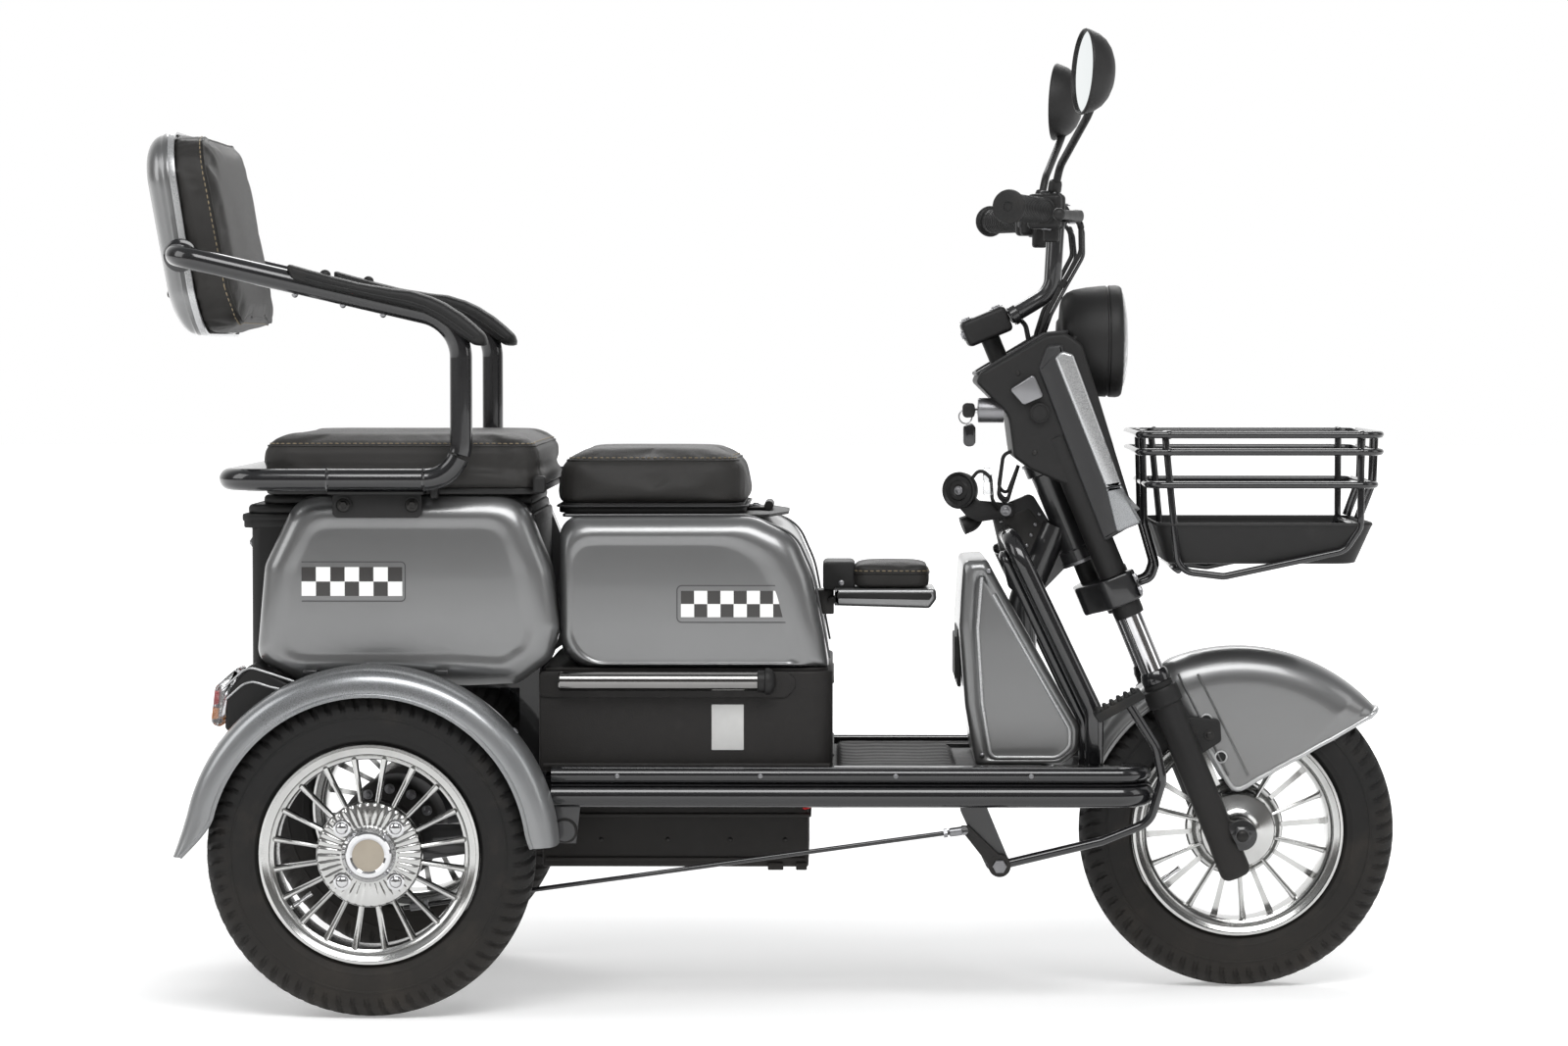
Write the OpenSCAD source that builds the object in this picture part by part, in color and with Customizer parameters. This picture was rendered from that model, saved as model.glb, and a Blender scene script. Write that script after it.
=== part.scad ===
// Electric passenger trike: two seats, front basket, foot brake, sprung fork and sprung rear axle.
// Millimetres. +X forward, +Y to the rider's left, +Z up. The origin is on the ground at mid length.

/* [Wheels] */
// Outer radius of the tyres
wheel_r = 205; // [190:1:215]
// Width of the tyres
tyre_w = 78; // [60:1:80]
// Outer radius of the rims
rim_r = 138; // [125:1:145]
// Number of rim spokes
spokes = 20; // [12:1:24]
// Front axle, distance ahead of the origin
front_axle_x = 598; // [590:1:640]
// Rear axle, distance behind the origin
rear_axle_x = 504; // [490:1:520]
// Half the distance between the rear wheels
track_half = 277; // [270:1:330]
// Radius of the axles
axle_r = 8; // [6:0.5:9]

/* [Steering] */
// Rake of the steering axis from the vertical
rake = 22.5; // [20:0.5:25]
// Radius of the steering shaft
stem_r = 12.5; // [10:0.5:14]
// Outer radius of the head tube
head_r = 20; // [18:0.5:24]
// Length of the head tube
head_len = 140; // [120:1:150]
// Half the distance between the fork tubes
fork_y = 74; // [70:1:78]
// Radius of the chrome fork tubes
fork_tube_r = 15; // [13:0.5:16]
// Radius of the fork legs
fork_leg_r = 20; // [19:0.5:21]
// How far the fork tubes stand ahead of the steering axis
fork_lead = 28; // [24:1:32]

/* [Body] */
// Half width of the driver's body
driver_half = 205; // [170:1:205]
// Half width over the rear side panels
rear_half = 233; // [200:1:233]
// Height of the footboard top
floor_z = 302; // [290:1:306]
// Wall of the plastic covers
wall = 4; // [3:0.5:6]
// Half width of the legshield
shield_half = 128; // [100:1:135]

/* [Seats] */
// Half width of the passenger cushion
passenger_half = 224; // [180:1:226]
// Thickness of the passenger cushion
passenger_t = 68; // [50:1:80]
// Half width of the driver cushion
driver_seat_half = 150; // [120:1:170]
// Thickness of the driver cushion
driver_t = 76; // [50:1:90]
// Half width of the backrest
back_half = 188; // [150:1:200]

/* [Tubes] */
// Radius of the arm frame tube
arm_r = 14; // [10:0.5:15]
// Half width of the arm frame, to the tube's centre
arm_half = 250; // [245:1:260]
// Radius of the leg guard tubes
guard_r = 12; // [8:0.5:13]
// Radius of the footboard side rails
rail_r = 19; // [14:0.5:20]
// Half width of the side rails, to the tube's centre
rail_half = 215; // [212:1:230]

/* [Handlebar] */
// Half width of the handlebar
bar_half = 318; // [290:1:330]
// Radius of the handlebar tube
bar_r = 11; // [9:0.5:12]
// Radius of the grips
grip_r = 17; // [14:0.5:18]
// Radius of the mirrors
mirror_r = 53; // [40:1:60]
// Radius of the headlight
lamp_r = 73; // [60:1:76]

/* [Basket] */
// Half width of the basket
basket_half = 135; // [110:1:150]
// Radius of the basket wire
wire_r = 4.5; // [3:0.5:5]

/* [Hidden] */
$fn = 48;
near = -1;                       // the rider's right
far = 1;
run_gap = 0.05;                  // radial clearance of a running fit
fit_gap = 0.3;                   // gap between pieces that seat on each other
steer = [361, 0, 639];           // middle of the head tube
pivot = [-266, 0, 226];          // swing arm pivot
rear_axle = [-rear_axle_x, 0, wheel_r];
front_axle = [front_axle_x, 0, wheel_r];
seat_deck_z = 648;               // top of the rear panels
shell_seam_z = 429;              // seam between the driver's base and shell
shell_top_z = 622;
box_half = 160;                  // half width of the storage box
lower_clamp_z = -139;            // lower fork clamp, along the steering axis
upper_clamp_z = 84;
top_block_z = 240;
leg_top_z = -290;
leg_bottom_z = -538;

// ---- shared shapes ----
module aim(p, d) translate(p)
    rotate([0, acos(d[2] / norm(d)), (d[0] == 0 && d[1] == 0) ? 0 : atan2(d[1], d[0])]) children();
module rod(a, b, r) aim(a, b - a) cylinder(h = norm(b - a), r = r);
function unit(v) = v / norm(v);
function turn(a, b, c) = acos(max(-1, min(1, unit(b - a) * unit(c - b))));

// Ring centres of a tube through p: each corner becomes an arc of radius bend, in n steps
function arc_at(p, i, bend, n) = let(d1 = unit(p[i] - p[i - 1]), d2 = unit(p[i + 1] - p[i]),
    t = turn(p[i - 1], p[i], p[i + 1]), a = p[i] - d1 * bend * tan(t / 2),
    m = unit(d2 - d1 * (d1 * d2)), c = a + m * bend)
    [for (k = [0:n]) [c - m * bend * cos(t * k / n) + d1 * bend * sin(t * k / n),
        d1 * cos(t * k / n) + m * sin(t * k / n)]];
function along(p, bend, n) = concat([[p[0], unit(p[1] - p[0])]],
    [for (i = [1:1:len(p) - 2]) each arc_at(p, i, bend, n)],
    [[p[len(p) - 1], unit(p[len(p) - 1] - p[len(p) - 2])]]);
function carried(q, u, i = 0) = i >= len(q) ? [] :
    let(v = unit(u - q[i][1] * (u * q[i][1]))) concat([v], carried(q, v, i + 1));
function across(d) = abs(d[2]) < 0.9 ? [0, 0, 1] : [1, 0, 0];

// Joins rings of points into a closed skin; q holds each ring's centre and direction
module skin(q, r, sides, ring_shut) {
    n = len(q);
    u = carried(q, across(q[0][1]));
    points = [for (k = [0:n - 1]) let(w = cross(q[k][1], u[k])) for (j = [0:sides - 1])
        q[k][0] + r * (u[k] * cos(j * 360 / sides) + w * sin(j * 360 / sides))];
    walls = [for (k = [0:n - (ring_shut ? 1 : 2)]) for (j = [0:sides - 1])
        let(a = k * sides, b = ((k + 1) % n) * sides, m = (j + 1) % sides)
        each [[a + j, b + j, b + m], [a + j, b + m, a + m]]];
    ends = ring_shut ? [] : [[for (j = [0:sides - 1]) j],
        [for (j = [sides - 1:-1:0]) (n - 1) * sides + j]];
    polyhedron(points, concat(walls, ends), convexity = 8);
}

// A tube through the points p, with radius r and the bend radius at each corner
module pipe(p, r, bend, sides = 12) skin(along(p, bend, 5), r, sides, false);

// A closed rounded rectangle of wire, flat at height z
module hoop(x0, x1, half, z, r, bend) {
    c = [[x0, -half, z], [x1, -half, z], [x1, half, z], [x0, half, z]];
    skin([for (i = [0:3]) each arc_at([c[(i + 3) % 4], c[i], c[(i + 1) % 4]], 1, bend, 4)], r, 8, true);
}

// A flat shape given in side view (x, z), made solid from y0 to y1
module side_plate(y0, y1) translate([0, y1, 0]) rotate([90, 0, 0]) linear_extrude(y1 - y0) children();
module rounded(r) offset(r = r, $fn = 24) offset(delta = -r) children();
// The same across the whole width, with its side edges eased by e
module eased(y0, y1, e) hull() {
    side_plate(y0 + e, y1 - e) children();
    side_plate(y0, y1) offset(delta = -e) children();
}
module both() for (s = [-1, 1]) scale([1, s, 1]) children();
module steer_frame() translate(steer) rotate([0, -rake, 0]) children();
module block(lo, hi) translate(lo) cube(hi - lo);

// ---- outlines in side view ----
module driver_outline(inset) offset(delta = -inset) rounded(30)
    polygon([[-275 + fit_gap, shell_seam_z], [-275 + fit_gap, shell_top_z], [-30, shell_top_z],
        [22, 596], [44, 545], [60, 469], [66, shell_seam_z]]);
module panel_outline(inset) offset(delta = -inset) rounded(26)
    polygon([[-656, 440], [-645, 560], [-603, seat_deck_z], [-322, seat_deck_z], [-284, 555],
        [-275, 480], [-283, 446], [-322, 412], [-390, 408], [-603, 412]]);
module shield_outline(inset) offset(delta = -inset) rounded(8)
    polygon([[238, 560], [233, 476], [240, 376], [254, deck_z + fit_gap], [362, deck_z + fit_gap],
        [384, 316], [386, 348], [284, 530], [268, 562]]);
module dash_outline(inset) offset(delta = -inset) rounded(14)
    polygon([[260, 775], [262, 806], [310, 838], [367, 842], [394, 813], [468, 593], [426, 584],
        [356, 648], [292, 668]]);
back_line = [[-729, 848], [-741, 906], [-752, 977], [-763, 1050], [-770, 1098]];
module back_shell_outline() rounded(6) polygon(concat(
    [for (q = back_line) q - [0.5, 0]],
    [[-790, 1082], [-803, 1042], [-801, 1006], [-790, 947], [-769, 878], [-748, 851]]));
module back_cushion_outline() rounded(10) polygon(concat(back_line,
    [[-762, 1108], [-738, 1104], [-716, 1050], [-704, 1000], [-697, 950], [-692, 906], [-692, 873],
    [-702, 850]]));

// ---- chassis ----
module main_frame() color("#26272a") {
    both() {
        block([-330, 95, 252], [352, 125, 282]);
        block([-330, 95, 282], [-304, 125, 398]);
        block([-640, 95, 398], [-304, 125, 428]);
        block([-492, 125, 400], [-468, 158, 424]);
        // pivot bracket with its pin
        block([-292, 125, 254], [-262, 222, 280 - rail_r]);
        side_plate(222, 227) polygon([[-288, 261], [-246, 261], [-252, 210], [-280, 210]]);
        translate([pivot[0], 196, pivot[2]]) rotate([-90, 0, 0]) cylinder(h = 28, r = axle_r);
        translate([pivot[0], 226, pivot[2]]) rotate([-90, 0, 0]) cylinder(h = 6.5, r = 13);
    }
    for (x = [-330, 58, 322]) block([x, -125, 252], [x + 30, 125, 282]);
    block([-500, -95, 400], [-470, 95, 426]);
    block([-620, -box_half, 400], [-592, box_half, 426]);
    // outriggers under the side rails
    both() for (x = [-200, 58, 280]) block([x, 125, 254], [x + 24, rail_half, 280 - rail_r]);
    // brake pedal bracket on the rider's right
    difference() {
        side_plate(-206, -198) rounded(10)
            polygon([[226, 262], [262, 262], [296, 180], [284, 168], [266, 176]]);
        translate([281, -199, 181]) rotate([90, 0, 0]) cylinder(h = 20, r = axle_r + run_gap, center = true);
    }
    block([222, -206, 254], [266, -125, 262]);
}

module front_frame() color("#222326") difference() {
    union() {
        steer_frame() translate([0, 0, -head_len / 2 - 20]) cylinder(h = head_len, r = head_r);
        steer_frame() translate([0, 0, -head_len / 2 - 30]) cylinder(h = 16, r = head_r + 5);
        steer_frame() translate([0, 0, head_len / 2 - 34]) cylinder(h = 16, r = head_r + 5);
        rod([366, 0, 606], [318, 0, 500], 19);
        translate([318, 0, 500]) sphere(r = 19.5);
        translate([318, 0, 282 + fit_gap]) cylinder(h = 218, r = 19);
        side_plate(-6, 6) rounded(8) polygon([[276, 622], [330, 644], [384, 556], [330, 500], [300, 520]]);
    }
    steer_frame() cylinder(h = 400, r = stem_r + run_gap, center = true);
}

deck_z = floor_z - 5;
module footboard() color("#2b2c2e") {
    difference() {
        block([-283, -192, 285], [345, 192, deck_z]);
        translate([318, 0, 280]) cylinder(h = 30, r = 19 + fit_gap);
    }
    both() block([345, 128, 285], [432, 171.6, deck_z]);
    // ribs of the mat: the outer ones run past the legshield
    for (y = [-180:20:160])
        block([76, y, deck_z], [abs(y + 6) > shield_half + 12 ? 345 : 226, y + 12, floor_z]);
}

module side_rails() color("#161617") both()
    pipe([[-283, rail_half, 281], [428, rail_half, 281], [456, rail_half - 26, 281]], rail_r, 24, 16);

module battery_box() color("#2a2b2d") difference() {
    block([-300, -140, 170], [40, 140, 251.7]);
    block([-300 + wall, -140 + wall, 170 + wall], [40 - wall, 140 - wall, 252]);
}
module battery_pack() color("#3c4048") for (i = [0:3]) translate([-290 + i * 81, -120, 170 + wall])
    cube([74, 240, 70]);

base_half = 200;
module driver_base() color("#242527") difference() {
    block([-300, -base_half, deck_z + fit_gap], [71, base_half, shell_seam_z - fit_gap]);
    block([-300 + wall, -base_half + wall, deck_z + wall], [71 - wall, base_half - wall, 440]);
}

module driver_shell() color("#84878c") difference() {
    eased(-driver_half, driver_half, 22) driver_outline(0);
    eased(-driver_half + wall, driver_half - wall, 20) driver_outline(wall);
    block([-300, -driver_half + 30, 420], [30, driver_half - 30, 440]);
    block([-255, -driver_seat_half + 20, 600], [-30, driver_seat_half - 20, 630]);
}

module trim_tubes() color("#b9bcc0") both() {
    translate([-274, base_half + 12 + fit_gap, 413]) rotate([0, 90, 0]) cylinder(h = 254, r = 12);
    translate([-20, base_half + 12 + fit_gap, 413]) rotate([0, 90, 0]) cylinder(h = 18, r = 12);
}

module rear_panel() color("#84878c") difference() {
    eased(-rear_half, rear_half, 24) panel_outline(0);
    eased(-rear_half + wall, rear_half - wall, 22) panel_outline(wall);
    block([-700, -box_half - fit_gap, 380], [-200, rear_half + 9, 680]);
}
module rear_panel_right() rear_panel();
module rear_panel_left() mirror([0, 1, 0]) rear_panel();

module storage_box() color("#1f2022") difference() {
    union() {
        block([-669, -box_half, 428.3], [-306, box_half, 646]);
        block([-679, -box_half, 604], [-660, box_half, 622]);
    }
    block([-669 + wall, -box_half + wall, 428 + wall], [-306 - wall, box_half - wall, 650]);
}

module child_bracket() side_plate(-20, 20) polygon([[57.1, 486], [50.1, 518], [72.7, 518], [72.7, 486]]);
module seat_brackets() color("#1b1c1e") {
    child_bracket();
    both() arm_bracket();
}
module arm_bracket() {
    block([-560, 206, seat_deck_z + fit_gap], [-440, arm_half + 6, arm_lower_z - arm_r - fit_gap]);
    block([-556, rear_half + fit_gap, seat_deck_z - 28], [-444, rear_half + 5, seat_deck_z + 2]);
    for (x = [-546, -460]) translate([x, rear_half + 5.3, seat_deck_z - 12]) rotate([-90, 0, 0])
        cylinder(h = 5, r = 7, $fn = 6);
}

arm_lower_z = 668;
arm_bend = 46;
arm_path = [[-688, arm_half, arm_lower_z], [-393, arm_half, arm_lower_z],
    [-393, arm_half, 866], [-752, arm_half, 949], [-752, back_half + fit_gap, 949]];
function mirrored(v) = [v[0], -v[1], v[2]];
// The whole frame is one tube, from one side of the backrest round to the other
module arm_frame() color("#0f0f10") pipe([arm_path[4], arm_path[3], arm_path[2], arm_path[1],
    arm_path[0], mirrored(arm_path[0]), mirrored(arm_path[1]), mirrored(arm_path[2]),
    mirrored(arm_path[3]), mirrored(arm_path[4])], arm_r, arm_bend, 16);

module armrest() color("#1c1c1d") difference() {
    side_plate(-arm_half - 22, -arm_half + 22) rounded(4) polygon([[-610, 941], [-564, 929], [-521, 919],
        [-454, 911], [-415, 899], [-375, 874], [-353, 849], [-356, 832], [-372, 834], [-396, 856],
        [-440, 874], [-480, 884], [-560, 904], [-612, 920]]);
    pipe([mirrored(arm_path[3]), mirrored(arm_path[2]), mirrored(arm_path[1])], arm_r + 0.6,
        arm_bend, 16);
}
module armrest_right() armrest();
module armrest_left() mirror([0, 1, 0]) armrest();

module backrest_shell() color("#84878c") side_plate(-back_half, back_half) back_shell_outline();
module backrest_cushion() color("#2b2b2d")
    side_plate(-back_half + 2, back_half - 2) back_cushion_outline();

module legshield() color("#84878c") difference() {
    side_plate(-shield_half, shield_half) shield_outline(0);
    side_plate(-shield_half + wall, shield_half - wall) shield_outline(wall);
    block([262, -shield_half + 26, 290], [420, shield_half - 26, 320]);
    block([300, -shield_half + 8, 304], [420, shield_half - 8, 540]);
    block([262, -60, 470], [340, 60, 600]);
}

module leg_guards() color("#0f0f10") both() pipe([[298, 6 + fit_gap, 590],
    [298, shield_half + guard_r + 3, 590], [404, shield_half + guard_r + 3, 368],
    [404, shield_half + guard_r + 3, deck_z + fit_gap]], guard_r, 40);

module horn() color("#17181a") {
    translate([238, -8, 647]) rotate([90, 0, -30]) cylinder(h = 18, r = 24, center = true);
    block([246, -14, 612], [306, -6 - fit_gap, 632]);
}

module rear_fender() color("#8f9296") translate([rear_axle[0], 0, rear_axle[2]]) rotate([90, 0, 0])
    rotate([0, 0, 3]) rotate_extrude(angle = 176, $fn = 96) polygon([[226, rear_half + fit_gap],
        [232, rear_half + fit_gap], [232, rear_half + 84], [226, rear_half + 92],
        [223, rear_half + 92], [228, rear_half + 84], [228, rear_half + 4], [226, rear_half + 4]]);
module rear_fender_right() rear_fender();
module rear_fender_left() mirror([0, 1, 0]) rear_fender();

module tail_lamp() color("#c8ccd2") side_plate(-rear_half + 4, -box_half - fit_gap)
    polygon([[-712, 360], [-706, 408], [-668, 440], [-661, 438], [-608, 408], [-576, 406], [-628, 386],
        [-690, 350]]);
module tail_lamp_right() tail_lamp();
module tail_lamp_left() mirror([0, 1, 0]) tail_lamp();

// ---- seats that tip ----
driver_deck_z = shell_top_z + fit_gap;
module driver_seat_base() color("#1f2022") {
    side_plate(-driver_seat_half + 6, driver_seat_half - 6) polygon([[-279, driver_deck_z],
        [-279, driver_deck_z + 12], [-44, driver_deck_z + 12], [-44, driver_deck_z]]);
    block([-44, -40, driver_deck_z + 1], [-13, 40, driver_deck_z + 8]);
    translate([-12, 0, driver_deck_z + 6]) rotate([90, 0, 0]) cylinder(h = 90, r = 6, center = true);
}
module driver_cushion() color("#2f2f31") hull() {
    block([-276, -driver_seat_half + 8, driver_deck_z + 12.3],
        [-42, driver_seat_half - 8, driver_deck_z + 30]);
    block([-284, -driver_seat_half, driver_deck_z + 24],
        [-34, driver_seat_half, driver_deck_z + driver_t - 14]);
    block([-266, -driver_seat_half + 16, driver_deck_z + 24],
        [-54, driver_seat_half - 16, driver_deck_z + driver_t + 6]);
}
module passenger_seat_base() color("#1f2022")
    block([-640, -200, seat_deck_z + fit_gap], [-300, 200, seat_deck_z + 8]);
module passenger_cushion() color("#2f2f31") hull() {
    block([-648, -passenger_half + 10, seat_deck_z + 8.3],
        [-294, passenger_half - 10, seat_deck_z + 24]);
    block([-656, -passenger_half, seat_deck_z + 18],
        [-290, passenger_half, seat_deck_z + passenger_t - 14]);
    block([-640, -passenger_half + 16, seat_deck_z + 24],
        [-308, passenger_half - 16, seat_deck_z + passenger_t + 8]);
}

// ---- folding child seat ahead of the driver ----
module child_seat_plate() color("#84878c") side_plate(-62, 62)
    polygon([[73.2, 500], [196, 496], [205, 508], [204, 522], [73.2, 522]]);
module child_seat_pad() color("#1c1c1e") hull() {
    block([96, -60, 522.3], [198, 60, 546]);
    block([102, -54, 530], [190, 54, 556]);
}

// ---- foot brake ----
module brake_pedal() color("#18191a") {
    translate([281, -206 - fit_gap, 181]) rotate([90, 0, 0]) cylinder(h = 12, r = 14);
    translate([281, -196, 181]) rotate([90, 0, 0]) cylinder(h = 14, r = axle_r);
    pipe([[294.9, -213, 184.4], [410, -213, 212], [470, -213, 236], [486, -213, 290], [478, -213, 330],
        [443.5, -213, 384.9]], 6, 14);
    side_plate(-238, -188) polygon([[398, 373], [456, 405], [462, 395.5], [404, 363.5]]);
    rod([281, -213, 181], [236, -213, 226], 6);
}
module brake_rod() color("#202123") {
    rod([242, -222.3, 227], [-470, -222.3, 127.8], 3);
}

// ---- steering ----
module steering_stem() color("#1d1e20") {
    steer_frame() translate([0, 0, lower_clamp_z]) cylinder(h = top_block_z - lower_clamp_z, r = stem_r);
    steer_frame() difference() {
        union() {
            translate([0, 0, lower_clamp_z - 19]) linear_extrude(38) rounded(10) polygon([
                [-22, -26], [-8, -fork_y - 22], [fork_lead + 24, -fork_y - 22], [fork_lead + 24, 0],
                [fork_lead + 24, fork_y + 22], [-8, fork_y + 22], [-22, 26]]);
            translate([0, 0, upper_clamp_z - 7]) linear_extrude(14) rounded(8) polygon([
                [-20, -22], [2, -fork_y - 14], [fork_lead + 20, -fork_y - 14], [fork_lead + 20, 0],
                [fork_lead + 20, fork_y + 14], [2, fork_y + 14], [-20, 22]]);
        }
        both() translate([fork_lead, fork_y, -200]) cylinder(h = 500, r = fork_tube_r + fit_gap);
    }
    steer_frame() translate([-30, -36, top_block_z - 18]) cube([62, 72, 34]);
}
module fork_tubes() color("#d5d7da") steer_frame() both() translate([fork_lead, fork_y, -440])
    cylinder(h = 440 + upper_clamp_z + 8, r = fork_tube_r);

bar_z = 1004;
module handlebar() color("#121213") {
    both() pipe([[301, 24, 871.9], [356, 24, 905], [361, 30, bar_z - bar_r - 0.3]], 10, 30);
    pipe([[288, -bar_half + 4, bar_z + 2], [350, -150, bar_z], [361, -60, bar_z], [361, 60, bar_z],
        [350, 150, bar_z], [288, bar_half - 4, bar_z + 2]], bar_r, 40);
}

cover_cut = fork_y + fork_tube_r + 0.6;
module dash_cover() color("#17181a") difference() {
    eased(-94, 94, 12) dash_outline(0);
    eased(-94 + wall, 94 - wall, 10) dash_outline(wall);
    steer_frame() translate([-45, -cover_cut, -200]) cube([100, 2 * cover_cut, 262]);
    translate([352, 0, 841]) rotate([0, 90, 0]) cylinder(h = 130, r = lamp_r + 2);
    steer_frame() translate([-40, -62, 100]) cube([115, 124, 200]);
    translate([250, -60, 752]) rotate([0, 90, 0]) cylinder(h = 40, r = 16.3);
}
module headlight_shell() color("#141416") {
    translate([362, 0, 841]) rotate([0, 90, 0]) difference() {
        union() {
            cylinder(h = 30, r1 = lamp_r - 22, r2 = lamp_r);
            translate([0, 0, 30]) cylinder(h = 50, r = lamp_r);
        }
        translate([0, 0, 34]) cylinder(h = 60, r = lamp_r - 5);
    }
    block([312.6, -14, 790], [364, 14, 802]);
}
module headlight_lens() color("#cfd6dc") translate([436, 0, 841]) rotate([0, 90, 0])
    intersection() {
        cylinder(h = 20, r = lamp_r - 5 - fit_gap);
        translate([0, 0, -160]) sphere(r = 176, $fn = 96);
    }

upright_y = basket_half - 2 * wire_r - 0.2;
module basket_frame() color("#121213") {
    hoop(462, 770, basket_half, 722, wire_r, 22);
    hoop(462, 770, basket_half, 700, wire_r, 22);
    hoop(474, 764, basket_half, 658, wire_r, 22);
    both() {
        // uprights with the bottom rails, and struts to the fork clamp
        pipe([[494, upright_y, 727], [512, upright_y, 548], [570, upright_y, 541],
            [724, upright_y, 574], [744, upright_y, 604], [744, upright_y, 727]], wire_r, 16, 8);
        pipe([[471.3, 40, 727], [474.5, 40, 606], [490, 40, 552], [484, 40, 534], [464.6, 40, 527.4]],
            wire_r, 10, 8);
    }
}
module basket_tray() color("#222325") difference() {
    hull() {
        block([500, -basket_half + 16, 556], [740, basket_half - 16, 560]);
        block([484, -basket_half + 6, 606], [760, basket_half - 6, 610]);
    }
    hull() {
        block([504, -basket_half + 20, 559], [736, basket_half - 20, 563]);
        block([488, -basket_half + 10, 607], [756, basket_half - 10, 612]);
    }
    both() block([480, basket_half - 14, 540], [780, basket_half, 612]);
}

// The grip's own frame: +Z out along the grip, +X down and -Y forward
module grip_at(s) scale([1, s, 1]) {
    d = [288 - 350, bar_half - 4 - 150, 2];
    aim([350, 150, bar_z] + d * 0.26, d) children();
}
module left_grip() color("#1a1a1b") grip_at(far) difference() {
    cylinder(h = 136, r = grip_r);
    translate([0, 0, -1]) cylinder(h = 131, r = bar_r + fit_gap);
}
module throttle_grip() color("#1a1a1b") grip_at(near) difference() {
    translate([0, 0, 1]) cylinder(h = 135, r = grip_r);
    cylinder(h = 130, r = bar_r + fit_gap);
}
module controls() color("#161718") for (s = [-1, 1]) grip_at(s) difference() {
    union() {
        translate([-22, -22, -32]) cube([44, 44, 30]);
        translate([8, -10, -44]) cube([30, 20, 11]);
    }
    translate([0, 0, -60]) cylinder(h = 80, r = bar_r + fit_gap);
}
module brake_lever(s) grip_at(s) {
    rod([-2, -31, -21], [14, -31, -21], 8.6);
    pipe([[6, -33, -19], [8, -58, 20], [10, -64, 126]], 4.5, 12, 10);
    translate([10, -64, 131]) sphere(r = 8);
}
module brake_lever_right() color("#1b1c1d") brake_lever(near);
module brake_lever_left() color("#1b1c1d") brake_lever(far);

mirror_foot = [350, 176, 1031];
module mirror_stem(s) scale([1, s, 1]) {
    pipe([mirror_foot - [0, 0, 3], [356, 186, 1060], [384, 318, 1118], [391, 327, 1138]], 5, 12);
    aim([384, 328, 1170], [-0.97, 0.2, 0.05]) translate([0, 0, -14]) {
        cylinder(h = 14, r1 = mirror_r - 18, r2 = mirror_r);
        translate([0, 0, 14]) cylinder(h = 10, r = mirror_r);
    }
}
module mirror_right() color("#17181a") mirror_stem(near);
module mirror_left() color("#17181a") mirror_stem(far);

module ignition_lock() color("#b0b3b7") translate([262, -60, 752]) rotate([0, 90, 0])
    cylinder(h = 34, r = 16);
module ignition_key() color("#c9ccd0") {
    translate([261.7, -60, 752]) rotate([0, -90, 0]) cylinder(h = 6, r = 7);
    block([238, -61.5, 742], [256, -58.5, 762]);
}

cable_path = [[362, 166.5, 1004], [372, 146, 1003], [386, 122, 988], [388, 98, 955], [366, 80, 915],
    [348, 68, 880], [338, 58, 850], [338, 52, 812]];
module cables() color("#141415") both() pipe(cable_path, 3, 14, 8);

// ---- sprung fork legs, fender and front wheel ----
module fork_legs() color("#141517") difference() {
    union() {
        steer_frame() both() {
            translate([fork_lead, fork_y, leg_bottom_z])
                cylinder(h = leg_top_z - leg_bottom_z, r = fork_leg_r);
            translate([fork_lead, fork_y, leg_top_z - 26]) cylinder(h = 26, r = fork_leg_r + 3);
        }
        both() translate([front_axle[0], fork_y + 14, wheel_r]) rotate([90, 0, 0]) cylinder(h = 26, r = 17);
        both() block([528, 50.5 + fit_gap, 322], [566, fork_y - 16, 346]);
        both() rod([front_axle[0], fork_y, wheel_r], [front_axle[0] - 20, fork_y, wheel_r - 8], 15);
        translate(front_axle) rotate([90, 0, 0]) cylinder(h = 2 * fork_y + 40, r = axle_r, center = true);
        both() translate([front_axle[0], fork_y + 14, wheel_r]) rotate([-90, 0, 0])
            cylinder(h = 9, r = 14, $fn = 6);
    }
    steer_frame() both() translate([fork_lead, fork_y, leg_bottom_z + 38])
        cylinder(h = 400, r = fork_tube_r + run_gap);
}

fender_r = 238;
module front_fender() color("#84878c") translate(front_axle) intersection() {
    rotate([90, 0, 0]) rotate_extrude($fn = 96) polygon([[60, 46], [60, 50.5], [fender_r - 22, 50.5],
        [fender_r - 6, 40], [fender_r, 20], [fender_r, -20], [fender_r - 6, -40],
        [fender_r - 22, -50.5], [60, -50.5], [60, -46], [fender_r - 24, -46], [fender_r - 10, -37],
        [fender_r - 4, -19], [fender_r - 4, 19], [fender_r - 10, 37], [fender_r - 24, 46]]);
    side_plate(-60, 60) polygon([[170, 149], [0, 56], [-22, 78], [-74, 165], [-98, 205],
        [-140, 260], [180, 260], [185, 165]]);
}

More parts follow.
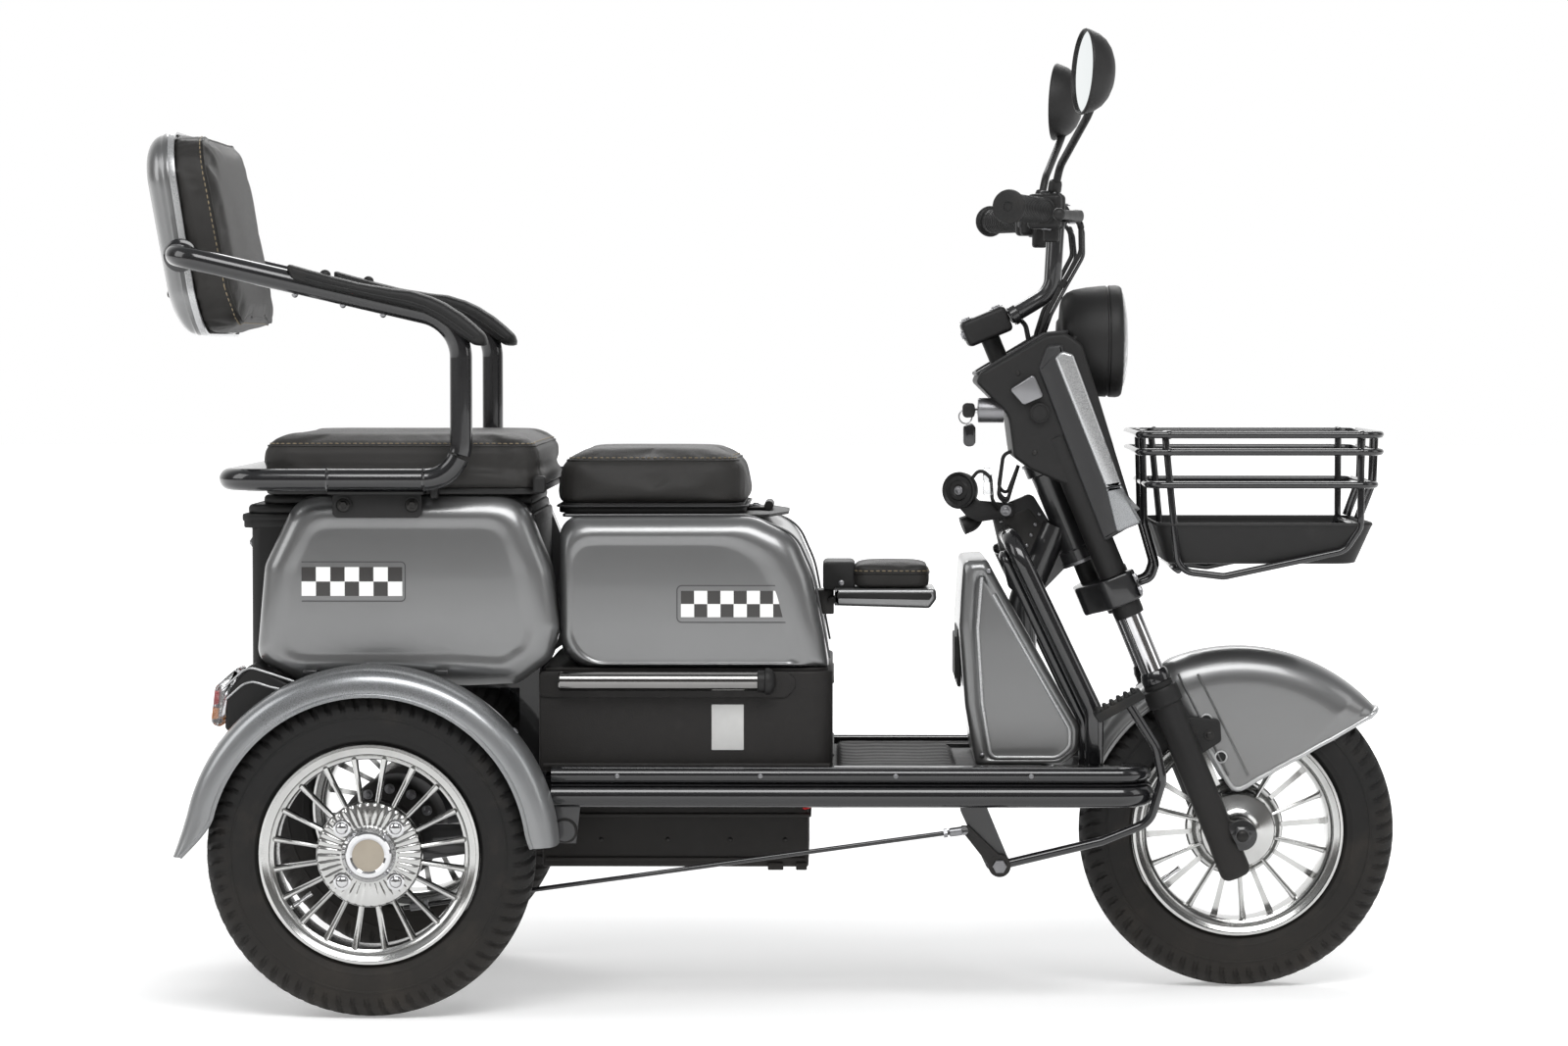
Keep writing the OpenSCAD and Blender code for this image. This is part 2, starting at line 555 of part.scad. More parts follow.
module tyre() rotate([90, 0, 0]) rotate_extrude($fn = 128) polygon([
    [rim_r + fit_gap, -30], [rim_r + 14, -36], [rim_r + 34, -tyre_w / 2],
        [wheel_r - 22, -tyre_w / 2 + 2], [wheel_r - 7, -24], [wheel_r, -10], [wheel_r, 10],
        [wheel_r - 7, 24], [wheel_r - 22, tyre_w / 2 - 2], [rim_r + 34, tyre_w / 2],
        [rim_r + 14, 36], [rim_r + fit_gap, 30]]);
module rim(bore_r, hub_w) rotate([90, 0, 0]) difference() {
    union() {
        rotate_extrude($fn = 96) polygon([[rim_r, -32], [rim_r, 32], [rim_r - 10, 32],
            [rim_r - 16, 22], [rim_r - 22, 22], [rim_r - 22, -22], [rim_r - 16, -22], [rim_r - 10, -32]]);
        cylinder(h = hub_w, r = 46, center = true);
        for (i = [0:spokes - 1]) rotate([0, 0, i * 360 / spokes]) translate([40, -3.5, -14])
            cube([rim_r - 20 - 40, 7, 28]);
    }
    cylinder(h = 200, r = bore_r, center = true);
}
module front_tyre() color("#1b1b1b") translate(front_axle) tyre();
module front_rim() color("#d9dbde") translate(front_axle) rim(axle_r + run_gap, 88);

// ---- sprung rear axle ----
module swing_arm() color("#232427") {
    both() difference() {
        union() {
            translate([pivot[0], 197, pivot[2]]) rotate([-90, 0, 0]) cylinder(h = 24, r = 15);
            side_plate(200, 214) polygon([[-266, 212], [-266, 240], [-360, 234], [-506, 224],
                [-506, 192], [-360, 206]]);
        }
        translate([pivot[0], 180, pivot[2]]) rotate([-90, 0, 0]) cylinder(h = 60, r = axle_r + run_gap);
    }
    translate(rear_axle) rotate([90, 0, 0]) {
        cylinder(h = 430, r = 24, center = true);
        cylinder(h = 120, r = 66, center = true);
        cylinder(h = 2 * track_half + 74, r = 13, center = true);
        for (s = [-1, 1]) translate([0, 0, s * 216]) cylinder(h = 4, r = 60, center = true);
    }
    // brake arm on the right hand drum
    block([-484, -218, 120], [-470, -214, 168]);
}
module rear_tyre_right() color("#1b1b1b") translate(rear_axle + [0, -track_half, 0]) tyre();
module rear_tyre_left() color("#1b1b1b") translate(rear_axle + [0, track_half, 0]) tyre();
module rear_rim_right() color("#d9dbde") translate(rear_axle + [0, -track_half, 0])
    rim(13 + run_gap, 72);
module rear_rim_left() color("#d9dbde") translate(rear_axle + [0, track_half, 0])
    rim(13 + run_gap, 72);

main_frame();
front_frame();
footboard();
side_rails();
battery_box();
battery_pack();
driver_base();
driver_shell();
trim_tubes();
rear_panel_right();
rear_panel_left();
storage_box();
seat_brackets();
arm_frame();
armrest_right();
armrest_left();
backrest_shell();
backrest_cushion();
legshield();
leg_guards();
horn();
rear_fender_right();
rear_fender_left();
tail_lamp_right();
tail_lamp_left();
passenger_seat_base();
passenger_cushion();
driver_seat_base();
driver_cushion();
child_seat_plate();
child_seat_pad();
brake_pedal();
brake_rod();
steering_stem();
fork_tubes();
handlebar();
dash_cover();
headlight_shell();
headlight_lens();
basket_frame();
basket_tray();
left_grip();
controls();
ignition_lock();
cables();
ignition_key();
throttle_grip();
brake_lever_right();
brake_lever_left();
mirror_right();
mirror_left();
fork_legs();
front_fender();
front_tyre();
front_rim();
swing_arm();
rear_tyre_right();
rear_tyre_left();
rear_rim_right();
rear_rim_left();
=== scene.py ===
import math
import bpy
import bmesh
import numpy as np
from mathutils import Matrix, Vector
from mathutils.bvhtree import BVHTree


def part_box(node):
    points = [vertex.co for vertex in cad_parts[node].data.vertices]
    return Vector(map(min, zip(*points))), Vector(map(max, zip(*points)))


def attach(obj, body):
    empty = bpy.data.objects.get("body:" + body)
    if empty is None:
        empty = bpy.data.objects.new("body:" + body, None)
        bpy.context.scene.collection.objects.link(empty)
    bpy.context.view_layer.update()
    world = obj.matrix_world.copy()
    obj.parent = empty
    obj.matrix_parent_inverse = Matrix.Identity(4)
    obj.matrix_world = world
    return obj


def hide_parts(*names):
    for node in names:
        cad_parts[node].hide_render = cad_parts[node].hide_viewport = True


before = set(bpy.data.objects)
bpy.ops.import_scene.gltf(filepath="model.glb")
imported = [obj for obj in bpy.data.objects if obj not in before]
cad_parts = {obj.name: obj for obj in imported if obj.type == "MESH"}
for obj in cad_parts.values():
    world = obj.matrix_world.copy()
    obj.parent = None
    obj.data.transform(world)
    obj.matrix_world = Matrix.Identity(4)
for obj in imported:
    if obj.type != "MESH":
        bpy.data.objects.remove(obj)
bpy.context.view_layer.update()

print("frame loaded", len(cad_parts), "nodes")

# camera, floor and light
studio = {"camera": (0.071, -5.6, 0.836), "yaw": 0.654, "pitch": -2.373, "lens": 98.5, "floorSize": 60.0,
          "keyPower": 112.0, "fillPower": 30.0, "backPower": 60.0, "nearLow": (0.075, 0.062, 0.052),
          "nearHigh": (0.30, 0.305, 0.31), "far": (1.0, 1.0, 1.0), "sky": 1.0, "floorGlow": 0.30,
          "glowFrom": 1.3, "glowTo": 4.2}


def addCamera():
    data = bpy.data.cameras.new("viewCamera")
    data.lens = studio["lens"]
    data.sensor_width = 36.0
    data.clip_end = 200.0
    camera = bpy.data.objects.new("viewCamera", data)
    camera.location = studio["camera"]
    camera.rotation_euler = (math.radians(90 + studio["pitch"]), 0, math.radians(studio["yaw"]))
    bpy.context.scene.collection.objects.link(camera)
    bpy.context.scene.camera = camera


def addSoftbox(name, place, aim, size, power):
    data = bpy.data.lights.new(name, "AREA")
    data.shape = "RECTANGLE"
    data.size, data.size_y = size
    data.energy = power
    lamp = bpy.data.objects.new(name, data)
    lamp.location = place
    lamp.rotation_euler = (Vector(aim) - Vector(place)).to_track_quat("-Z", "Y").to_euler()
    bpy.context.scene.collection.objects.link(lamp)


addCamera()
addSoftbox("keySoftbox", (0.4, -2.6, 3.4), (0, 0, 0.5), (3.2, 1.6), studio["keyPower"])
addSoftbox("rearSoftbox", (-3.2, -1.2, 2.2), (0, 0, 0.6), (1.6, 2.2), studio["fillPower"])
addSoftbox("frontSoftbox", (3.4, -1.0, 2.0), (0, 0, 0.6), (1.4, 2.0), studio["fillPower"] * 0.5)
addSoftbox("farSoftbox", (0.0, 3.2, 3.0), (0, 0, 0.5), (3.0, 1.4), studio["backPower"])


# shader sums
class Amount:
    # one number or colour leaving a shader node; + - * / < > add Math nodes after it
    def __init__(self, finish, socket):
        self.finish, self.socket = finish, socket

    def math(self, operation, first, second=0.0):
        return self.finish.add("ShaderNodeMath", {"operation": operation}, {0: first, 1: second})

    def __add__(self, other):
        return self.math("ADD", self, other)

    def __radd__(self, other):
        return self.math("ADD", other, self)

    def __sub__(self, other):
        return self.math("SUBTRACT", self, other)

    def __rsub__(self, other):
        return self.math("SUBTRACT", other, self)

    def __mul__(self, other):
        return self.math("MULTIPLY", self, other)

    def __rmul__(self, other):
        return self.math("MULTIPLY", other, self)

    def __truediv__(self, other):
        return self.math("DIVIDE", self, other)

    def __lt__(self, other):
        return self.math("LESS_THAN", self, other)

    def __gt__(self, other):
        return self.math("GREATER_THAN", self, other)

    def floor(self):
        return self.math("FLOOR", self)

    def modulo(self, other):
        return self.math("FLOORED_MODULO", self, other)

    def ramp(self, low, high, lowTo=0.0, highTo=1.0):
        return self.finish.add("ShaderNodeMapRange", {"interpolation_type": "SMOOTHSTEP"},
                               {0: self, 1: low, 2: high, 3: lowTo, 4: highTo})


class Finish:
    # one material: a Principled shader, with what its surface shows worked out in node sums
    def __init__(self, name, world=None, **sockets):
        if world is None:
            self.material = bpy.data.materials.new(name)
            self.material.use_nodes = True
            self.tree = self.material.node_tree
            self.shader = self.tree.nodes["Principled BSDF"]
        else:
            world.use_nodes = True
            self.tree = world.node_tree
            self.shader = self.tree.nodes["Background"]
        for label, value in sockets.items():
            self.set(label, value)

    def set(self, label, value):
        names = {"base": "Base Color", "rough": "Roughness", "metal": "Metallic", "coat": "Coat Weight",
                 "coatRough": "Coat Roughness", "emit": "Emission Color", "glow": "Emission Strength",
                 "normal": "Normal", "clear": "Transmission Weight", "ior": "IOR", "sheen": "Sheen Weight",
                 "spec": "Specular IOR Level", "sky": "Color", "power": "Strength"}
        self.feed(self.shader.inputs[names[label]], value)

    def feed(self, socket, value):
        if isinstance(value, Amount):
            self.tree.links.new(value.socket, socket)
        elif socket.type == "RGBA" and len(value) == 3:
            socket.default_value = (*value, 1.0)
        else:
            socket.default_value = value

    def add(self, kind, settings=None, values=None, out=0):
        node = self.tree.nodes.new(kind)
        for label, value in (settings or {}).items():
            if label == "stops":
                for element, (place, colour) in zip(node.color_ramp.elements, value):
                    element.position, element.color = place, colour
            else:
                setattr(node, label, value)
        for label, value in (values or {}).items():
            self.feed(node.inputs[label], value)
        return Amount(self, node.outputs[out])

    def place(self):
        return self.add("ShaderNodeTexCoord", out="Object")

    def parts(self, vector):
        node = self.tree.nodes.new("ShaderNodeSeparateXYZ")
        self.feed(node.inputs[0], vector)
        return [Amount(self, node.outputs[k]) for k in range(3)]

    def noise(self, scale, detail=3.0, rough=0.5, stretch=None):
        where = self.place()
        if stretch:
            where = self.add("ShaderNodeMapping", values={"Vector": where, "Scale": stretch})
        return self.add("ShaderNodeTexNoise", values={"Vector": where, "Scale": scale, "Detail": detail,
                                                      "Roughness": rough})

    def cells(self, scale, feature="F1", out="Distance"):
        return self.add("ShaderNodeTexVoronoi", {"feature": feature},
                        {"Vector": self.place(), "Scale": scale}, out)

    def mix(self, share, first, second):
        node = self.tree.nodes.new("ShaderNodeMix")
        node.data_type = "RGBA"
        for label, value in ((0, share), (6, first), (7, second)):
            self.feed(node.inputs[label], value)
        return Amount(self, node.outputs[2])

    def bump(self, height, strength=0.3, distance=0.001):
        self.set("normal", self.add("ShaderNodeBump", values={"Height": height, "Strength": strength,
                                                              "Distance": distance}))

    def dirt(self, low, high):
        # 1 near the ground and 0 above, broken up by noise
        _, _, z = self.parts(self.place())
        return (z + self.noise(14.0, 5.0) * 0.12).ramp(low, high, 1.0, 0.0)


def bodyPaint(name, tone, metal=0.75, rough=0.30):
    # metallic paint: fine flake, faint orange peel, a clear coat and dust low down
    f = Finish(name, coat=0.55, coatRough=0.08)
    flake = f.cells(2600.0, out="Color")
    sparkle = f.add("ShaderNodeSeparateColor", values={0: flake}).ramp(0.0, 1.0, -0.5, 0.5)
    cloud = f.noise(5.0, 2.0)
    base = f.mix(cloud.ramp(0.35, 0.65, 0.0, 0.35), tone, tuple(c * 1.12 for c in tone))
    dust = f.dirt(0.18, 0.5) * 0.16
    f.set("base", f.mix(dust, base, (0.23, 0.21, 0.18)))
    f.set("metal", metal - dust)
    f.set("rough", f.noise(60.0, 3.0) * 0.05 + rough + sparkle * 0.07 + dust)
    f.bump(f.noise(220.0, 2.0) * 0.3 + sparkle * 0.12, 0.07, 0.0006)
    return f.material


def glossBlack(name, tone=(0.011, 0.011, 0.012), rough=0.14):
    f = Finish(name, coat=0.65, coatRough=0.04, ior=1.45)
    wear = f.noise(38.0, 6.0, 0.62).ramp(0.60, 0.74)
    f.set("base", f.mix(wear * 0.25, tone, (0.030, 0.029, 0.028)))
    f.set("rough", rough + f.noise(90.0, 3.0) * 0.08 + wear * 0.08)
    f.bump(f.noise(160.0, 2.0), 0.035, 0.0006)
    return f.material


def mouldedPlastic(name, tone, rough=0.48, grain=0.22, scale=1500.0):
    # satin plastic: fine moulded grain, slightly scuffed and paler low down
    f = Finish(name, spec=0.36)
    scuff = f.noise(24.0, 6.0, 0.65).ramp(0.55, 0.75)
    dust = f.dirt(0.15, 0.42) * 0.22
    light = tuple(c * 1.5 + 0.004 for c in tone)
    base = f.mix(scuff * 0.35, tone, light)
    f.set("base", f.mix(dust * 0.6, base, (0.060, 0.050, 0.040)))
    f.set("rough", rough + f.noise(70.0, 4.0) * 0.10 - scuff * 0.05 + dust * 0.4)
    f.bump(f.cells(scale) * 0.7 + f.noise(scale * 0.4, 2.0) * 0.5, grain, 0.0004)
    return f.material


def seatVinyl(name, tone=(0.0155, 0.0145, 0.0135)):
    # embossed vinyl: leather cells with fine creases between them
    f = Finish(name, sheen=0.03, spec=0.32)
    edge = f.cells(430.0, "DISTANCE_TO_EDGE").ramp(0.0, 0.11)
    fine = f.cells(1150.0, "DISTANCE_TO_EDGE").ramp(0.0, 0.12)
    soft = f.noise(9.0, 4.0)
    f.set("base", f.mix(soft.ramp(0.3, 0.7) * 0.5 + (1.0 - edge) * 0.2, tone, tuple(c * 1.7 for c in tone)))
    f.set("rough", 0.44 + soft * 0.14 + (1.0 - edge) * 0.12)
    f.bump(edge * 0.75 + fine * 0.3, 0.30, 0.0005)
    return f.material


def rubber(name, tone=(0.016, 0.016, 0.016), rough=0.62, dustTo=0.3):
    f = Finish(name, spec=0.35)
    dust = f.dirt(0.02, dustTo) * 0.16
    cloud = f.noise(18.0, 6.0, 0.6)
    f.set("base", f.mix(dust + cloud.ramp(0.5, 0.8) * 0.16, tone, (0.085, 0.070, 0.055)))
    f.set("rough", rough + cloud * 0.16)
    f.bump(f.noise(420.0, 5.0, 0.6) + f.noise(90.0, 3.0) * 0.4, 0.20, 0.0007)
    return f.material


def bareMetal(name, tone, rough, scratch=0.05, dull=0.10):
    # plated or polished metal: fine hairlines, faint clouding
    f = Finish(name, metal=1.0)
    cloud = f.noise(26.0, 6.0, 0.6)
    hair = f.noise(300.0, 4.0, 0.6, stretch=(1.0, 1.0, 14.0))
    f.set("base", f.mix(cloud.ramp(0.45, 0.8) * 0.6, tone, tuple(c * 0.78 for c in tone)))
    f.set("rough", rough + cloud * dull + hair * scratch)
    f.bump(hair, 0.03, 0.0003)
    return f.material


def clearPlastic(name):
    f = Finish(name, base=(0.96, 0.97, 0.98), clear=0.92, ior=1.49)
    f.set("rough", 0.04 + f.noise(40.0, 4.0) * 0.05)
    f.bump(f.cells(90.0), 0.35, 0.002)
    return f.material


def mirrorGlass(name):
    f = Finish(name, metal=1.0)
    f.set("base", f.mix(f.noise(6.0, 2.0) * 0.15, (0.86, 0.90, 0.90), (0.74, 0.79, 0.80)))
    f.set("rough", f.noise(50.0, 4.0) * 0.05 + 0.01)
    return f.material


def checkerPrint(name, left, foot, square, columns):
    # printed squares: the parity of the column plus the row, inside a thin dark outline
    f = Finish(name, coat=0.4, coatRough=0.1)
    x, _, z = f.parts(f.place())
    column = (x - left / 1000) / (square / 1000)
    row = (z - foot / 1000) / (square / 1000)
    odd = (column.floor() + row.floor()).modulo(2.0)
    inside = (column > 0.0) * (column < float(columns)) * (row > 0.0) * (row < 2.0)
    ink = f.mix(odd, (0.86, 0.86, 0.85), (0.028, 0.026, 0.025))
    f.set("base", f.mix(inside, (0.84, 0.84, 0.83), ink))
    f.set("rough", 0.34 + f.noise(120.0, 3.0) * 0.08)
    f.bump(f.noise(500.0, 2.0), 0.03, 0.0004)
    return f.material


def softPrint(name, tone, rough=0.4):
    f = Finish(name, coat=0.3, coatRough=0.2)
    f.set("base", f.mix(f.noise(70.0, 4.0), tone, tuple(c * 0.86 for c in tone)))
    f.set("rough", rough + f.noise(160.0, 3.0) * 0.1)
    f.bump(f.noise(600.0, 2.0), 0.05, 0.0003)
    return f.material


def stagePaper():
    # lit from within more and more with distance, so that the paper runs into the backdrop
    f = Finish("palePaper", rough=0.9, spec=0.1, glow=1.0)
    x, y, _ = f.parts(f.place())
    away = (x * x + y * y)
    away = away.math("SQRT", away).ramp(studio["glowFrom"], studio["glowTo"])
    low = studio["floorGlow"]
    f.set("emit", f.mix(away, (low, low, low), (0.98, 0.98, 0.98)))
    f.set("base", f.mix(f.noise(1.5, 2.0), (0.86, 0.86, 0.86), (0.875, 0.875, 0.875)))
    return f.material


checks = {"rear": {"left": -596.0, "foot": 521.6, "square": 18.1, "columns": 7},
          "front": {"left": -120.5, "foot": 493.5, "square": 16.6, "columns": 8}}
finishes = {
    "silver": bodyPaint("silverBodyPaint", (0.200, 0.202, 0.203)),
    "fenderSilver": bodyPaint("fenderPaint", (0.27, 0.278, 0.286), 0.7, 0.26),
    "brightSilver": bodyPaint("brightTrimPaint", (0.46, 0.465, 0.47), 0.6, 0.24),
    "gloss": glossBlack("glossTubePaint"),
    "frame": glossBlack("frameBlackPaint", (0.014, 0.014, 0.015), 0.30),
    "black": mouldedPlastic("blackPlastic", (0.0095, 0.0092, 0.0092)),
    "lowerBody": mouldedPlastic("lowerBodyPlastic", (0.011, 0.0098, 0.0092), 0.56, 0.5, 620.0),
    "grey": mouldedPlastic("greyPlastic", (0.030, 0.030, 0.031), 0.38, 0.12),
    "case": mouldedPlastic("batteryCasePlastic", (0.012, 0.011, 0.0105), 0.50, 0.2),
    "vinyl": seatVinyl("seatVinyl"),
    "thread": softPrint("tanThread", (0.24, 0.19, 0.115), 0.7),
    "grip": rubber("gripRubber", (0.008, 0.008, 0.008), 0.50, 0.2),
    "tread": rubber("tyreRubber", (0.0085, 0.0082, 0.008), 0.62, 0.34),
    "chrome": bareMetal("chromePlate", (0.62, 0.62, 0.63), 0.05, 0.04, 0.06),
    "alloy": bareMetal("polishedAlloy", (0.56, 0.56, 0.55), 0.12, 0.05, 0.10),
    "smoked": bareMetal("smokedChrome", (0.25, 0.245, 0.24), 0.07, 0.04, 0.06),
    "steel": bareMetal("zincSteel", (0.27, 0.27, 0.28), 0.28, 0.08, 0.15),
    "darkSteel": bareMetal("darkSteel", (0.045, 0.044, 0.043), 0.34, 0.08, 0.15),
    "cap": softPrint("hubCapPrint", (0.40, 0.35, 0.28), 0.32),
    "lens": clearPlastic("clearLens"),
    "mirror": mirrorGlass("mirrorGlass"),
    "paper": softPrint("blankPlate", (0.56, 0.56, 0.55), 0.5),
    "outline": softPrint("printOutline", (0.060, 0.060, 0.062), 0.4),
    "red": softPrint("redWire", (0.62, 0.02, 0.02), 0.4),
    "amber": softPrint("amberReflector", (0.80, 0.25, 0.02), 0.2),
    "tailRed": softPrint("redReflector", (0.55, 0.012, 0.012), 0.2),
    "rearCheck": checkerPrint("rearChecker", **checks["rear"]),
    "frontCheck": checkerPrint("frontChecker", **checks["front"]),
}
print("finishes ready", len(finishes))


def addFloor():
    size = studio["floorSize"] / 2
    mesh = bpy.data.meshes.new("paleFloor")
    mesh.from_pydata([(-size, -size, 0), (size, -size, 0), (size, size, 0), (-size, size, 0)], [],
                     [(0, 1, 2, 3)])
    floor = bpy.data.objects.new("paleFloor", mesh)
    mesh.materials.append(stagePaper())
    bpy.context.scene.collection.objects.link(floor)


def addSky():
    world = bpy.data.worlds.new("studioSky")
    bpy.context.scene.world = world
    f = Finish("studioSky", world=world)
    _, y, z = f.parts(f.add("ShaderNodeTexCoord", out="Generated"))
    # a white backdrop on the far side, a darker room behind the camera and under the horizon
    near = f.mix(z.ramp(-0.25, 0.75), studio["nearLow"], studio["nearHigh"])
    f.set("sky", f.mix(y.ramp(0.2, 0.9) * z.ramp(-0.6, -0.25), near, studio["far"]))
    f.set("power", studio["sky"])


addFloor()
addSky()


# shapes: every one is (points in mm, faces)
bothSides = (("right", -1), ("left", 1))


def unit(v):
    v = np.asarray(v, float)
    return v / np.maximum(np.linalg.norm(v, axis=-1, keepdims=True), 1e-9)


def grid(points, wrapRows=False, wrapColumns=True):
    # faces of an array of points [row, column]; rows that don't wrap are capped, each end by one
    # many-sided face
    rows, columns = points.shape[:2]
    index = np.arange(rows * columns).reshape(rows, columns)
    wide = np.hstack([index, index[:, :1]]) if wrapColumns else index
    wide = np.vstack([wide, wide[:1]]) if wrapRows else wide
    faces = np.stack([wide[:-1, :-1], wide[:-1, 1:], wide[1:, 1:], wide[1:, :-1]], -1).reshape(-1, 4).tolist()
    if wrapColumns and not wrapRows:
        faces += [index[0, ::-1].tolist(), index[-1].tolist()]
    return points.reshape(-1, 3), faces


def roundCorners(corners, radius, closed=True, steps=6):
    # each corner becomes the arc of that radius that touches both its sides:
    # a rational curve through A, B, C whose middle weight is the sine of half the corner
    p = np.asarray(corners, float)
    radius = np.broadcast_to(radius, len(p))
    t = np.linspace(0, 1, steps)[:, None]
    out = []
    for i in range(len(p)):
        before, here, after = p[i - 1], p[i], p[(i + 1) % len(p)]
        if not closed and i in (0, len(p) - 1):
            out.append(here[None])
            continue
        toBefore, toAfter = unit(before - here), unit(after - here)
        half = math.acos(float(np.clip(toBefore @ toAfter, -1, 1))) / 2
        if radius[i] <= 0 or half > 1.565:
            out.append(here[None])
            continue
        cut = min(radius[i] / math.tan(half), 0.49 * np.linalg.norm(before - here),
                  0.49 * np.linalg.norm(after - here))
        w = math.sin(half)
        blend = (1 - t) ** 2 * (here + toBefore * cut) + 2 * w * t * (1 - t) * here + t ** 2 * (here
                + toAfter * cut)
        out.append(blend / ((1 - t) ** 2 + 2 * w * t * (1 - t) + t ** 2))
    return np.vstack(out)


def spaced(line, count, closed=False):
    # the same line with points at equal distances along it
    line = np.vstack([line, line[:1]]) if closed else np.asarray(line, float)
    length = np.concatenate([[0], np.cumsum(np.linalg.norm(np.diff(line, axis=0), axis=1))])
    at = np.linspace(0, length[-1], count, endpoint=not closed)
    return np.stack([np.interp(at, length, line[:, k]) for k in range(line.shape[1])], -1)


def tangents(path, closed=False):
    if closed:
        return unit(np.roll(path, -1, 0) - np.roll(path, 1, 0))
    return unit(np.gradient(path, axis=0))


def framesAlong(path, up, closed=False):
    # side and up directions carried along a path; up stays as close as it can to the given one
    along = tangents(path, closed)
    side = unit(np.cross(along, np.broadcast_to(up, path.shape)))
    return side, np.cross(side, along)


def sweep(path, profile, up=(0, 0, 1), closed=False, scale=None):
    # a flat profile (side, up) carried along a path, each ring scaled by its own factor
    path = np.asarray(path, float)
    side, lift = framesAlong(path, up, closed)
    scale = np.ones(len(path)) if scale is None else np.broadcast_to(scale, len(path))
    profile = np.asarray(profile, float)
    rings = path[:, None] + scale[:, None,
                                  None] * (side[:, None] * profile[None, :, :1] + lift[:, None]
                                           * profile[None, :, 1:])
    return grid(rings, closed)


def circle(radius, sides=24, flat=1.0):
    a = np.linspace(0, 2 * math.pi, sides, endpoint=False)
    return np.stack([radius * np.cos(a), radius * np.sin(a) * flat], -1)


def tube(corners, radius, bend=20.0, sides=24, closed=False, up=(0, 0.31, 0.95), steps=12):
    # a round bar through the corners, its ends softened over half a radius
    path = roundCorners(corners, bend, closed, steps) if len(corners) > 2 else np.asarray(corners, float)
    scale = np.ones(len(path))
    if not closed:
        e = min(radius * 0.35, 3.0)
        d0, d1 = unit(path[1] - path[0]), unit(path[-2] - path[-1])
        path = np.vstack([path[0], path[0] + d0 * e * 0.3, path[0] + d0 * e, path[1:-1],
                          path[-1] + d1 * e, path[-1] + d1 * e * 0.3, path[-1]])
        ease = [1 - e / radius, 1 - 0.3 * e / radius, 1.0]
        scale = np.concatenate([ease, np.ones(len(path) - 6), ease[::-1]])
    return sweep(path, circle(radius, sides), up, closed, scale)


def lathe(profile, centre, axis, sides=64, closed=False):
    # a profile of (radius, height) turned about an axis through the centre
    axis = unit(axis)
    side = unit(np.cross(axis, (0, 0, 1) if abs(axis[2]) < 0.9 else (1, 0, 0)))
    other = np.cross(axis, side)
    a = np.radians(np.linspace(0, 360.0, sides, endpoint=False))
    spoke = np.cos(a)[:, None] * side + np.sin(a)[:, None] * other
    profile = np.asarray(profile, float)
    points = np.asarray(centre, float) + profile[None, :, :1] * spoke[:, None] + profile[None, :, 1:] * axis
    return grid(points.swapaxes(0, 1), closed)


def roundedBox(lo, hi, radius=4.0, steps=4):
    # a sphere cut in eight and drawn apart: centre + sign of the direction x inner half + direction x radius
    lo, hi = np.asarray(lo, float), np.asarray(hi, float)
    half = (hi - lo) / 2
    radius = min(radius, *(half * 0.98))
    quarter = np.linspace(0, math.pi / 2, steps + 1)
    rise = np.concatenate([quarter - math.pi / 2, quarter])
    lift = np.repeat([-1.0, 1.0], steps + 1)
    turn = np.concatenate([quarter + k * math.pi / 2 for k in range(4)])
    sx, sy = np.repeat([1, -1, -1, 1], steps + 1), np.repeat([1, 1, -1, -1], steps + 1)
    direction = np.stack([np.cos(rise)[:, None] * np.cos(turn), np.cos(rise)[:, None] * np.sin(turn),
                          np.sin(rise)[:, None] + 0 * turn], -1)
    sign = np.stack([np.broadcast_to(sx, direction.shape[:2]), np.broadcast_to(sy, direction.shape[:2]),
                     np.broadcast_to(lift[:, None], direction.shape[:2])], -1)
    return grid((lo + hi) / 2 + sign * (half - radius) + direction * radius)


def inset(line, distance):
    # every point of a closed flat outline moved inwards along its normal
    along = tangents(line, True)
    area = 0.5 * np.sum(line[:, 0] * np.roll(line[:, 1], -1) - np.roll(line[:, 0], -1) * line[:, 1])
    inward = np.stack([-along[:, 1], along[:, 0]], -1) * (1 if area > 0 else -1)
    return line + inward * distance


def onPlane(line, level, plane="y"):
    # a flat outline set at a level of x, y or z
    line, level = np.asarray(line, float), np.broadcast_to(level, len(line))
    order = {"x": (level, line[:, 0], line[:, 1]), "y": (line[:, 0], level, line[:, 1]),
             "z": (line[:, 0], line[:, 1], level)}[plane]
    return np.stack(order, -1)


def plate(corners, low, high, radius=6.0, ease=2.0, plane="y", count=0, steps=3):
    # an outline between two levels, its edges eased by quarter circles
    line = roundCorners(corners, radius) if np.max(radius) > 0 else np.asarray(corners, float)
    line = spaced(line, count, True) if count else line
    a = np.linspace(0, math.pi / 2, steps)
    rings = [onPlane(inset(line, ease * (1 - math.sin(t))), low + ease * (1 - math.cos(t)), plane) for t in a]
    rings += [onPlane(inset(line, ease * (1 - math.cos(t))), high - ease * (1 - math.sin(t)), plane)
              for t in a]
    return grid(np.array(rings))


def flank(corners, side, near, far, radius, ease=2.0, steps=3):
    # a plate standing between two distances from the middle plane, on the side asked for
    return plate(corners, *sorted((side * near, side * far)), radius, ease, "y", 0, steps)


def mirrored(shape):
    return shape[0] * (1, -1, 1), [face[::-1] for face in shape[1]]


def steerFrame(local):
    # steering-axis coordinates (ahead, side, up the stem) to the vehicle's
    local = np.atleast_2d(np.asarray(local, float))
    c, s = math.cos(math.radians(22.5)), math.sin(math.radians(22.5))
    return np.stack([361 + local[:, 0] * c - local[:, 2] * s, local[:, 1],
                     639 + local[:, 0] * s + local[:, 2] * c], -1)


